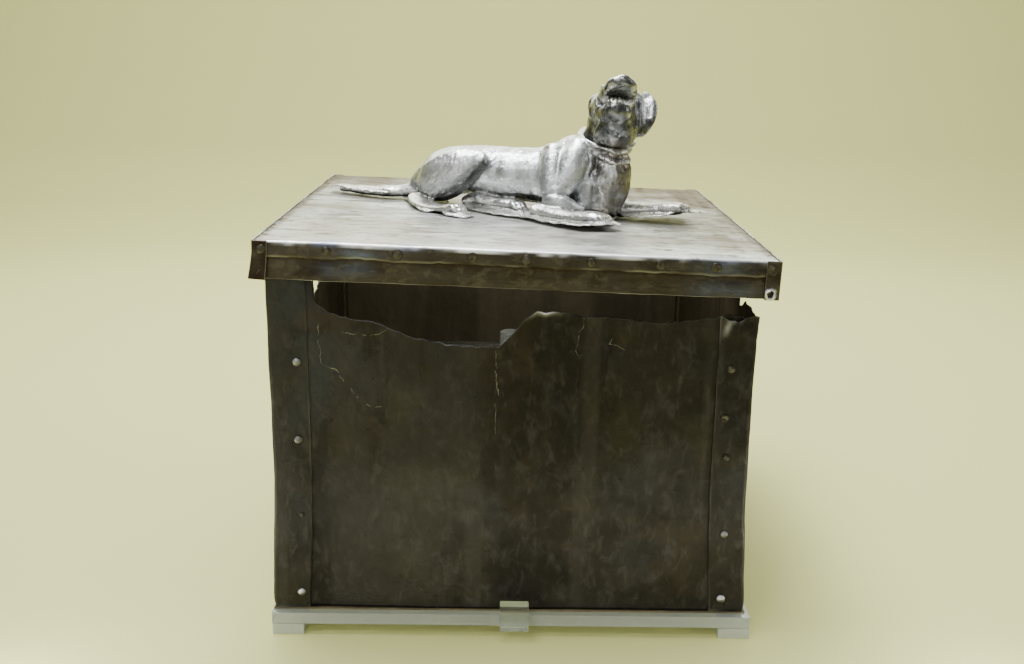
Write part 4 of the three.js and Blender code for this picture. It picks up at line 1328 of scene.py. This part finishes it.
    # Painted shade: under the thigh, behind the arm, by the shoulder's edge, on the flank, the low front and
    # the breast.
    under = body.near([(-34, -16, 44), (-44, -16, 33), (-58, -13, 20), (-76, -8, 9)], 9.5)
    facing_down = ramp(-body.normals[:, 2], -0.15, 0.5)
    body.masks["shade"] = under * ramp(-body.normals[:, 2], -0.45, 0.1)
    arm = body.near([(36, -50, 10), (48, -52, 9), (60, -48, 8)], 4)
    groove = body.near([(17, -16, 56), (18, -24, 42), (18, -28, 28), (17, -26, 16)], 4.4)
    edge = body.near([(72, -38, 56), (66, -46, 44), (58, -48, 32), (62, -46, 20)], 6)
    body.at_least("shade", 0.5 * arm + 0.4 * groove + 0.75 * edge)
    low_front = ramp(x, 50, 66) * ramp(-z, -44, -12) * ramp(-y, 20, 34)
    body.at_least("shade", 0.8 * low_front)
    flank = body.near([(-28, -14, 17), (-12, -12, 14), (4, -18, 12)], 7)
    body.at_least("shade", 0.4 * flank)
    belly = ramp(-z, -24, -12)
    body.at_least("shade", 0.95 * facing_down * belly)
    # Painted shade on the belly's underside.
    body.at_least("patina_and_shade", 0.9 * ramp(-body.normals[:, 2], 0.5, 0.9) * belly)
    lit = ramp(body.normals[:, 2], -0.2, 0.3) * ramp(-z, -17, -13)
    feet = body.near([row[:3] for row in FAR_HIND_FOOT], 9, 4)
    feet = np.maximum(feet, body.near([row[:3] for row in FAR_FORELEG[2:]], 11, 4))
    feet = np.maximum(feet, body.near([row[:3] for row in NEAR_FORELEG[2:]], 11, 4))
    lit = np.maximum(lit, 0.8 * feet * ramp(body.normals[:, 2], -0.5, 0.0))
    breast = ramp(x, 60, 72) * ramp(-y, 20, 32) * ramp(z, 8, 16)
    body.at_least("shade", breast * np.clip(0.5 + 1.3 * body.patches(11, (3, 0, 0)), 0, 0.9))
    # Less painted shade where low surfaces near the lid face up.
    body.masks["shade"] *= 1 - lit
    body.masks["patina_and_shade"] *= 1 - 0.7 * lit
    throat = body.near([(86, -38, 66), (90, -40, 58)], 9)
    right = ramp(x, 80, 94) * ramp(z, 14, 34) * ramp(-y, -5, 10) * ramp(-x, -106, -102)
    chest = ramp(x, 62, 80) * ramp(-y, 22, 32) * 0.6
    body.masks["tarnish"] = np.clip(1.2 * throat + 0.6 * right + chest, 0, 1)
    body.masks["matte"] = np.maximum(ramp(-z, -15, -9) * (1 - low_front), feet)
    # Painted highlights on the ridge, elbow, hip, shoulders, thigh, ribs, collar and haunch.
    ridge = body.near([(66, -46, 44), (60, -50, 37), (54, -52, 32)], 1.6) * 0.9
    elbow = body.near([(30, -50, 20), (37, -53, 21), (45, -54, 19)], 2.6) * 0.6
    hip = body.near([(-40, -20, 52), (-48, -14, 50), (-60, -8, 46)], 5) * 0.6
    upper = body.near([(52, -30, 62), (50, -38, 52)], 6) * 0.7
    upper += body.near([(28, -34, 40), (26, -36, 30)], 5) * 0.5
    thigh = body.near([(-44, -14, 56), (-58, -10, 50), (-74, -2, 42)], 8) * 0.7
    ribs = body.near([(8, -22, 48), (6, -26, 38)], 7) * 0.4
    from_seam = (body.points - COLLAR) @ COLLAR_UP
    collar = np.exp(-(((from_seam + 1.4) / 1.2) ** 2)) + 0.8 * np.exp(-(((from_seam + 8.6) / 1.3) ** 2))
    collar *= (reach < COLLAR_REACH) * ramp(-y, 0, 12)
    haunch = 0.5 * ramp(-x, 44, 60) * ramp(z, 14, 34) * (1 - under) * ramp(-y, -20, 5)
    body.masks["painted_highlight"] = np.clip(haunch + ridge + elbow + hip + upper + thigh + ribs + 0.6 * collar, 0, 1)
    body.masks["patina_and_shade"] *= 1 - 0.8 * np.clip(collar, 0, 1)
    return cut_at(body.finished(), COLLAR, COLLAR_UP)


# The sheet left flat round the limbs, as outlines of x, y and the height it is bent up to.

NEAR_APRON = [
    (-53, 22, 1), (-50, -3, 0.5), (-48, -13, 0.5), (-36, -26, 0.5), (-22, -38, 0.5), (-9, -46, 0.5),
    (3, -50, 0.5), (13, -63, 1), (22, -75, 1.5), (31, -87, 2.2), (40, -95, 3), (49, -101, 3.6),
    (58, -105, 4), (67, -104, 4.2), (75, -102, 4.4), (84, -100, 4.6), (90, -96, 4.4), (87, -86, 4),
    (83, -78, 3.6), (86, -60, 2.5), (90, -44, 1.5), (93, -31, 1), (80, -10, 0.5), (30, 0, 0.5),
    (-20, 22, 0.5),
]
FAR_APRON = [
    (86, -22, 0.3), (98, -36, 1.5), (112, -46, 3.5), (129, -52, 6), (140, -50, 7.5), (149, -46, 8.5),
    (160, -46, 9.4), (168, -40, 10), (167, -32, 10), (161, -24, 10), (162, -8, 10), (160, 2, 10),
    (151, 6, 9.6), (141, 4, 9.2), (128, -4, 8), (116, -9, 6.5), (104, 2, 3), (92, 2, 1),
]
HIND_APRON = [
    (-113, 45, 3), (-110, 30, 1), (-104, 10, 0.8), (-97.6, -10, 0.8), (-93, -24, 0.8), (-89, -35, 0.8),
    (-84.5, -40, 0.3), (-77, -41, 0.3), (-70, -45, 0.3), (-67, -53, 0.3), (-63, -58, 0.3), (-55, -62, 0.3),
    (-48, -63, 0.3), (-42, -59, 0.3), (-39, -52, 0.3), (-42, -42, 0.3), (-50, -30, 0.5), (-56, -14, 0.6),
    (-60, 8, 0.8), (-80, 40, 1),
]
TAIL_APRON = [
    (-104, 34, 2), (-118, 36, 2.6), (-134, 38, 3), (-150, 43, 3.4), (-166, 52, 3.4), (-178, 62, 3),
    (-187, 72, 2), (-186, 80, 1.6), (-176, 82, 2), (-160, 74, 3), (-146, 66, 3.2), (-128, 58, 3),
    (-108, 54, 2.5), (-96, 52, 2),
]
APRON_SHEET = 0.9


def apron(name, outline, seed, limbs=()):
    """A ragged flat sheet: its outline filled, cut into even cells, bent up and given thickness."""
    middles = np.array([row[:2] for limb in limbs for row in smooth_line(limb, 4)])
    bm = bmesh.new()
    rim = []
    for row in smooth_line([*outline, outline[0]], 6)[:-1]:
        jag = noise.noise(Vector((row[0] / 3.2, row[1] / 3.2, seed)))
        jag += 0.6 * noise.noise(Vector((row[0] / 1.3, row[1] / 1.3, seed + 5)))
        middle = np.mean(np.array(outline), axis=0)[:2]
        out = (row[:2] - middle) / np.linalg.norm(row[:2] - middle)
        rim.append(bm.verts.new((row[0] + out[0] * jag, row[1] + out[1] * jag, 0)))
    bmesh.ops.contextual_create(bm, geom=rim)
    spans = [(min(row[axis] for row in outline), max(row[axis] for row in outline)) for axis in (0, 1)]
    for axis, (low, high) in enumerate(spans):
        across = Vector((1, 0, 0)) if axis == 0 else Vector((0, 1, 0))
        for step in range(int(low) - 2, int(high) + 2, 3):
            everything = bm.verts[:] + bm.edges[:] + bm.faces[:]
            bmesh.ops.bisect_plane(bm, geom=everything, plane_co=across * (step + 0.5), plane_no=across)
    corners = np.array(outline, float)
    for vert in bm.verts:
        gap = np.hypot(corners[:, 0] - vert.co.x, corners[:, 1] - vert.co.y)
        weight = 1 / (gap + 2.0) ** 2
        lift = float(weight @ corners[:, 2] / weight.sum())
        crease = 0.9 * noise.noise(Vector((vert.co.x / 14, vert.co.y / 14, seed)))
        crease += 0.6 * noise.noise(Vector((vert.co.x / 5, vert.co.y / 5, seed + 3)))
        if len(middles):
            reach = np.hypot(middles[:, 0] - vert.co.x, middles[:, 1] - vert.co.y).min()
            lift += 3.2 * math.exp(-(((reach - 6) / 5) ** 2)) if reach > 6 else 3.2
        vert.co.z = max(APRON_SHEET + 0.1, lift + APRON_SHEET + 0.6 + crease)
    for face in bm.faces:
        if face.normal.z < 0:
            face.normal_flip()
    bm.normal_update()
    bmesh.ops.solidify(bm, geom=bm.faces[:], thickness=APRON_SHEET)
    mesh = bpy.data.meshes.new(name)
    bm.to_mesh(mesh)
    bm.free()
    work = Chasing(mesh)
    work.masks["matte"][:] = 1.0
    # A faint painted highlight over the whole sheet.
    work.masks["painted_highlight"][:] = 0.2
    work.masks["patina_and_shade"] = np.clip(1.2 * (work.patches(7) + 0.6 * work.patches(2.5)) - 0.2, 0, 0.6)
    return work.finished()


def joined(name, meshes):
    """One piece from several closed meshes in millimetres, put in its place on the lid."""
    bm = bmesh.new()
    for mesh in meshes:
        bm.from_mesh(mesh)
    bmesh.ops.transform(bm, matrix=DOG_PLACE, verts=bm.verts)
    return piece_from(bm, name)


aprons = [
    apron("near_apron", NEAR_APRON, 1, (NEAR_FORELEG, FAR_HIND_FOOT)),
    apron("far_apron", FAR_APRON, 2, (FAR_FORELEG,)),
    apron("hind_apron", HIND_APRON, 3, (NEAR_HIND_FOOT,)),
    apron("tail_apron", TAIL_APRON, 4, (TAIL,)),
]
finish_piece(joined("dog_body_chased", [body_skin(), *aprons]), dog_silver.material, "dog_silver", "dog_body")

# ---------------------------------------------------------------------------------------------
# Dog's head. A part of its own, set down on the collar with the seam left open. The head is thrown
# back with the mouth open: muzzle above, lower jaw dropped, a broad throat and two folded ears.
# Its rows are across, forward, up, half-breadth and half-height from the middle of the skull.

HEAD_FORWARD = Vector((0.119, -0.849, 0.515)).normalized()
HEAD_ACROSS = Vector((-0.990, -0.139, 0.0)).normalized()
HEAD_ROLL = math.radians(8)
HEAD_MIDDLE = Vector((82, -22, 100))

SKULL = [(-2, -22, -3, 12, 12), (-2, -14, -2, 18.5, 17), (-2, 0, -1.5, 20.5, 18.5), (-1, 12, -1, 19, 15.5),
         (0, 22, 0, 15.5, 11)]
MUZZLE = [
    (0, 8, 1, 18.5, 12.5), (0, 20, 1, 16.5, 10.5), (0, 32, 1.2, 15, 8.8), (0, 42, 1.4, 13.2, 7),
    (0, 47, 1.6, 10, 4.6),
]
LOWER_JAW = [(0, -6, -9, 19, 12), (0, 8, -13, 17.5, 12), (0, 18, -16, 15.5, 11.5), (0, 27, -18.5, 13.8, 10.2),
             (0, 34, -20, 12, 8.4), (0, 37.5, -20.5, 9, 6)]
MOUTH = [(0, 23, -6.4, 8.5, 1.4), (0, 28, -6.8, 10.8, 2.4), (0, 36, -7.2, 12.2, 3.8),
         (0, 48, -8, 13.2, 6.2), (0, 62, -9.2, 15, 9.6)]
LIP_LINE = [(-13.5, 16, -3.5), (-13, 23, -6), (-11, 30, -9), (-6.5, 36, -11.2), (0, 38, -12),
            (6.5, 36, -11.2), (11, 30, -9), (13, 23, -6), (13.5, 16, -3.5)]
THROAT = [(76, -14, 62, 23, 23), (82, -17, 74, 23, 23), (85, -20, 86, 24, 23.5), (86, -23, 97, 22, 20)]
GULLET = [(87, -55, 95, 11, 7.5), (86, -50, 88, 14, 8.5), (84, -43, 80, 17, 8.5), (83, -38, 72, 18, 8)]
JOWL = [
    (101, -8, 111, 7, 7), (104.5, -12, 105, 8, 8.5), (107, -14, 97, 8, 9), (108.5, -17, 87, 7.5, 10),
    (107.5, -19, 78, 7, 10),
]
RIGHT_EAR = [
    (112.6, -8, 114, 3, 1.6), (115, -11, 110, 5.2, 2.2), (117.6, -15, 104, 6.6, 2.4),
    (118, -18, 98, 6.8, 2.4), (117, -21, 91, 5.8, 2.4), (115, -23, 84, 4.2, 2.4), (113, -24, 78, 2, 1.8),
]
LEFT_EAR = [
    (70, -20, 109, 3, 2.6), (66, -25, 107, 4.6, 3), (64.5, -28, 101, 4.8, 3.2), (65.5, -29, 95, 3.8, 3),
    (67.5, -29, 90, 2.2, 2),
]


def head_skin():
    upright = HEAD_ACROSS.cross(HEAD_FORWARD)
    across = math.cos(HEAD_ROLL) * HEAD_ACROSS + math.sin(HEAD_ROLL) * upright
    up = math.cos(HEAD_ROLL) * upright - math.sin(HEAD_ROLL) * HEAD_ACROSS
    turn = Matrix((across, HEAD_FORWARD, up)).transposed().to_4x4()
    pose = Matrix.Translation(HEAD_MIDDLE) @ turn

    def at(s, f, u):
        return tuple(pose @ Vector((s, f, u)))

    bm = bmesh.new()
    for rows in (SKULL, MUZZLE, LOWER_JAW):
        add_limb(bm, rows, sides=24)
    add_limb(bm, [(0, 40, 4, 7, 4.2), (0, 46, 4, 6.5, 4), (0, 49, 3.4, 5.2, 3.2)], sides=16)
    for side in (-1, 1):
        cheek = [(side * 15 - 1, -6, -3, 6, 12), (side * 16 - 1, 5, -4, 6, 12), (side * 15, 16, -4, 4, 9)]
        add_limb(bm, cheek, sides=16)
        add_limb(bm, [(side * 10, 8, 10, 4.5, 3.5), (side * 10, 16, 9, 4, 3.2)], sides=14)
        flews = [(side * 13.4, 16, 0, 3.4, 6), (side * 13.2, 28, -1.2, 3.2, 6.6), (side * 11, 39, -0.8, 3, 5)]
        add_limb(bm, flews, sides=14)
    bmesh.ops.recalc_face_normals(bm, faces=bm.faces)
    bmesh.ops.transform(bm, matrix=pose, verts=bm.verts)
    add_limb(bm, THROAT, facing=(0, -1, 0), sides=24)
    add_limb(bm, JOWL, facing=(0, -1, 0), sides=18)
    add_limb(bm, GULLET, facing=(0, -1, 0), sides=20)
    solid = grown_skin("head_rough", bm, 0.8, 2)

    cutter = bmesh.new()
    add_limb(cutter, MOUTH, sides=24)
    bmesh.ops.recalc_face_normals(cutter, faces=cutter.faces)
    bmesh.ops.transform(cutter, matrix=pose, verts=cutter.verts)
    mouth = piece_from(cutter, "mouth_hollow")
    block = bpy.data.objects.new("head_block", solid)
    bpy.context.scene.collection.objects.link(block)
    bm = bmesh.new()
    bm.from_mesh(carved(block, mouth))
    bpy.data.objects.remove(block)
    for index in range(30):
        row, place = divmod(index, 15)
        share = place / 14 * (len(LIP_LINE) - 1)
        low = min(int(share), len(LIP_LINE) - 2)
        seat = Vector(LIP_LINE[low]).lerp(Vector(LIP_LINE[low + 1]), share - low) * (0.90 if row else 0.97)
        seat.z += 2.6 * row - 1.4
        tooth = pose @ Matrix.Translation(seat) @ Matrix.Diagonal((1, 1, 1.5, 1))
        bmesh.ops.create_icosphere(bm, subdivisions=2, radius=1.6 - 0.2 * row, matrix=tooth)
    add_limb(bm, RIGHT_EAR, facing=(0.1, -1, 0.1), sides=16)
    add_limb(bm, LEFT_EAR, facing=(-0.5, -1, 0.1), sides=16)
    head = Chasing(grown_skin("head_rough", bm, 0.72, 3))
    lumps = head.patches(9) + 0.5 * head.patches(3.5)
    head.points = head.points + head.normals * (0.4 * lumps)[:, None]

    for side in (-1, 1):
        for path, width, height in (
            ([(3.2, 50, 4)], 1.3, -2.2),  # nostril
            ([(13, 17, 11.5)], 2.2, 1.6),  # eyeball, and a fold above and below it
            ([(9, 19, 13.5), (14, 18, 14.5), (17, 14, 11.5)], 1.0, -1.0),
            ([(9, 17, 9), (14, 18, 8), (17, 13, 7.5)], 1.0, -0.9),
            ([(16, 34, 4), (15.5, 24, 5), (16, 14, 4)], 1.4, -0.8),
            ([(15, 14, -6), (17.5, 10, -14), (17, 2, -22)], 1.2, -1.6),  # corner of the mouth
            ([(20, 6, -8), (21, -2, -16)], 2.2, 1.0),
        ):
            head.push([at(side * s, f, u) for s, f, u in path], width, height)
    head.push([at(0, 30, 10), at(0, 12, 16), at(0, -6, 18)], 1.6, -0.7)
    for row in (8, 12, 16):
        level = 16 - row * 0.2
        head.push([at(-7, row, level), at(0, row + 2, level + 1), at(7, row, level)], 0.8, -0.5)
    for row in (18, 25, 32, 39):
        head.push([at(-8, row, -2), at(0, row + 4, -1), at(8, row, -2)], 1.0, -0.8)
        head.push([at(-8, row + 3.5, -2), at(0, row + 7.5, -1), at(8, row + 3.5, -2)], 1.0, 0.6)
    lip = [at(s * 1.04, f + 1, u - 3.8) for s, f, u in LIP_LINE]
    head.push(lip, 0.9, -1.1)
    head.push([at(s * 1.06, f + 1.2, u - 5.6) for s, f, u in LIP_LINE[2:7]], 1.0, 0.6)
    for side in (-1, 1):
        head.push([at(side * 12.4, 34, -14), at(side * 12.2, 31, -22), at(side * 12, 24, -28)], 1.4, -2.2)
    head.push([(115, -12, 109), (117, -16, 102), (117, -20, 95)], 3.4, -2.6, (0.1, -0.9, 0.4))
    head.push([(64, -33, 99)], 1.7, -2.0)
    head.push([(70, -36, 104), (70.5, -38, 96), (71, -40, 90)], 1.5, -1.6)
    head.push([(104, -30, 104), (105, -31, 94), (104, -32, 86)], 1.8, -1.2)
    head.push([(108, -30, 90), (107, -32, 82)], 2.0, 1.0)
    head.update()
    draw = random.Random(19)
    _, py, pz = head.points.T
    head.strokes((pz < 96) & (py < -20), lambda q: (0.1, -0.2, -1), 70, 6, 0.8, 0.4, draw)
    head.strokes((py > -25) & (pz > 84), lambda q: (0, 0.6, -0.5), 140, 5, 0.7, 0.45, draw)
    head.update()
    head.darken(3, 0.22, 0.6)
    head.darken(24, 1.8, 0.8)
    inverse = np.array(pose.inverted())
    local = np.c_[head.points, np.ones(len(head.points))] @ inverse.T
    s, f, u = local[:, 0], local[:, 1], local[:, 2]
    inside = (np.abs(s) < 13) & (f > 4) & (f < 46) & (u < 0.5)
    roof = inside & (u > -5.5) & (head.normals @ np.array(up) < -0.25)
    back = inside & (f < 24) & (u > -14) & (head.normals @ np.array(HEAD_FORWARD) > 0.25)
    ridges = 0.5 + 0.5 * np.cos((f - 18) * 1.8 + 0.03 * s * s)
    # Painted shade deep in the mouth, and lighter ridged shade on the palate.
    head.at_least("patina_and_shade", np.where(back, 0.95, 0))
    head.masks["patina_and_shade"] = np.where(roof, 0.3 * ridges, head.masks["patina_and_shade"])
    front = np.clip(-head.normals[:, 1] * 1.6 + 0.2, 0, 1)
    glow = head.patches(7, (0, 5, 0))
    brown = head.near([(84, -40, 70), (90, -40, 72)], 6)
    head.masks["tarnish"] = np.clip(front * brown, 0, 1)
    # Painted shade over the front of the head, lighter towards its top.
    head.masks["shade"] = np.clip(1.4 * front, 0, 1) * (1 - 0.4 * ramp(u, 4, 12))
    head.masks["shade"] *= np.clip(1.05 - 0.9 * glow, 0.4, 1)
    head.masks["shade"] = np.where(roof, 0.35 + 0.4 * ramp(-f, -34, -22), head.masks["shade"])
    # Painted highlights on the ear, the teeth, a cheek, the brows and two spots.
    ear = head.near([(115, -14, 108), (116.5, -17, 102), (116, -20, 96)], 4.0)
    ear *= np.clip(-head.normals[:, 1] * 3, 0, 1)
    teeth = 0.95 * head.near([at(s * 0.95, f, u) for s, f, u in LIP_LINE[1:-1]], 3.0)
    cheek = head.near([(71.5, -35, 109), (70, -36, 104), (69, -36, 100)], 4.2)
    brow = head.near([at(-9, 44, 4), at(-13, 36, 5), at(-15, 26, 5)], 2.6)
    brow += head.near([at(9, 46, 3), at(3, 49, 6)], 2)
    brow += 1.3 * head.near([(67, -36, 109), (64, -34, 105)], 3.4)
    spot = head.near([at(-11, 24, -24)], 1.6) + head.near([at(13, 30, -14)], 2.2)
    head.masks["painted_highlight"] = np.clip(1.5 * ear + teeth + cheek + 0.75 * brow + 0.6 * spot, 0, 1)
    head.masks["tarnish"] *= 1 - head.masks["painted_highlight"]
    seam = Vector(COLLAR + COLLAR_UP * 0.8)
    tilt = Vector(COLLAR_UP) + Vector((-0.03, 0.0, 0.0))
    return cut_at(head.finished(), seam, -tilt)


finish_piece(joined("dog_head_chased", [head_skin()]), dog_silver.material, "dog_silver", "dog_head")

# ---------------------------------------------------------------------------------------------
# Room. A plain pale floor that curves up into a backdrop, soft light from above and in front, and
# a camera a little above the lid.

room = new_material("pale floor", **{"Base Color": (0.69, 0.70, 0.27, 1.0), "Roughness": 0.75})[0]


def floor_sweep():
    bm = bmesh.new()
    line = [(-5.0, 0.0), (1.6, 0.0)]
    line += [(1.6 + 1.0 * math.sin(a), 1.0 - 1.0 * math.cos(a)) for a in (0.3, 0.6, 0.9, 1.2, 1.5)]
    line += [(2.6, 4.5)]
    verts = [bm.verts.new((-6.0, y, z)) for y, z in line]
    edges = [bm.edges.new(pair) for pair in zip(verts, verts[1:])]
    swept = bmesh.ops.extrude_edge_only(bm, edges=edges)["geom"]
    moved = [item for item in swept if isinstance(item, bmesh.types.BMVert)]
    bmesh.ops.translate(bm, vec=(12.0, 0, 0), verts=moved)
    bmesh.ops.recalc_face_normals(bm, faces=bm.faces)
    sweep = piece_from(bm, "floor_sweep")
    sweep.data.materials.append(room)


floor_sweep()

world = bpy.data.worlds.new("soft room")
world.use_nodes = True
world.node_tree.nodes["Background"].inputs["Color"].default_value = (0.93, 0.94, 0.86, 1.0)
world.node_tree.nodes["Background"].inputs["Strength"].default_value = 0.20
bpy.context.scene.world = world

LIGHTS = [
    ("ceiling", (-0.35, 0.15, 2.2), (0.0, 0.0, 0.3), (1.3, 0.7), 60.0),
    ("front_top", (-0.9, -1.6, 2.1), (0.0, 0.0, 0.35), (0.8, 0.5), 14.5),
    ("front_fill", (-0.6, -2.7, 0.85), (0.0, 0.0, 0.28), (2.4, 1.5), 13.0),
    ("right_rim", (1.9, -0.2, 1.3), (0.0, 0.0, 0.3), (0.9, 0.9), 10.0),
    ("back_glow", (0.0, 1.55, 1.25), (0.0, 0.0, 0.33), (2.4, 0.9), 22.0),
    ("back_wash", (0.0, 0.4, 2.9), (0.0, 2.6, 1.0), (3.0, 0.8), 66.0),
    ("inside", (0.02, -0.13, 0.305), (0.0, 0.2, 0.24), (0.26, 0.02), 0.14),
    ("low_bounce", (0.0, -0.36, 0.02), (0.0, -0.2, 0.06), (0.75, 0.03), 0.2),
    ("over_bar", (-0.02, -0.05, 0.305), (0.0, 0.0, 0.23), (0.3, 0.02), 0.07),
    ("left_foot", (-0.42, -0.34, 0.03), (-0.19, -0.18, 0.012), (0.06, 0.03), 0.4),
    ("right_foot", (0.42, -0.34, 0.03), (0.19, -0.18, 0.012), (0.06, 0.03), 0.4),
]
for name, place, target, size, power in LIGHTS:
    lamp = bpy.data.lights.new(name, "AREA")
    lamp.shape = "RECTANGLE"
    lamp.size, lamp.size_y = size
    lamp.energy = power
    holder = bpy.data.objects.new(name, lamp)
    holder.location = place
    holder.visible_camera = False
    holder.rotation_euler = (Vector(target) - Vector(place)).to_track_quat("-Z", "Y").to_euler()
    bpy.context.scene.collection.objects.link(holder)

CAMERA_PLACE = Vector((-0.0071, -1.0494, 0.4950))
YAW, PITCH, ROLL = math.radians(-0.246), math.radians(15.06), math.radians(-0.733)
ahead = Vector((-math.sin(YAW) * math.cos(PITCH), math.cos(YAW) * math.cos(PITCH), -math.sin(PITCH)))
level = Vector((math.cos(YAW), math.sin(YAW), 0))
down = ahead.cross(level)
right = math.cos(ROLL) * level + math.sin(ROLL) * down
lower = math.cos(ROLL) * down - math.sin(ROLL) * level
lens = bpy.data.cameras.new("camera")
lens.lens = 39.0
lens.sensor_width = 36.0
camera = bpy.data.objects.new("camera", lens)
camera.matrix_world = Matrix.Translation(CAMERA_PLACE) @ Matrix((right, -lower, -ahead)).transposed().to_4x4()
bpy.context.scene.collection.objects.link(camera)
bpy.context.scene.camera = camera
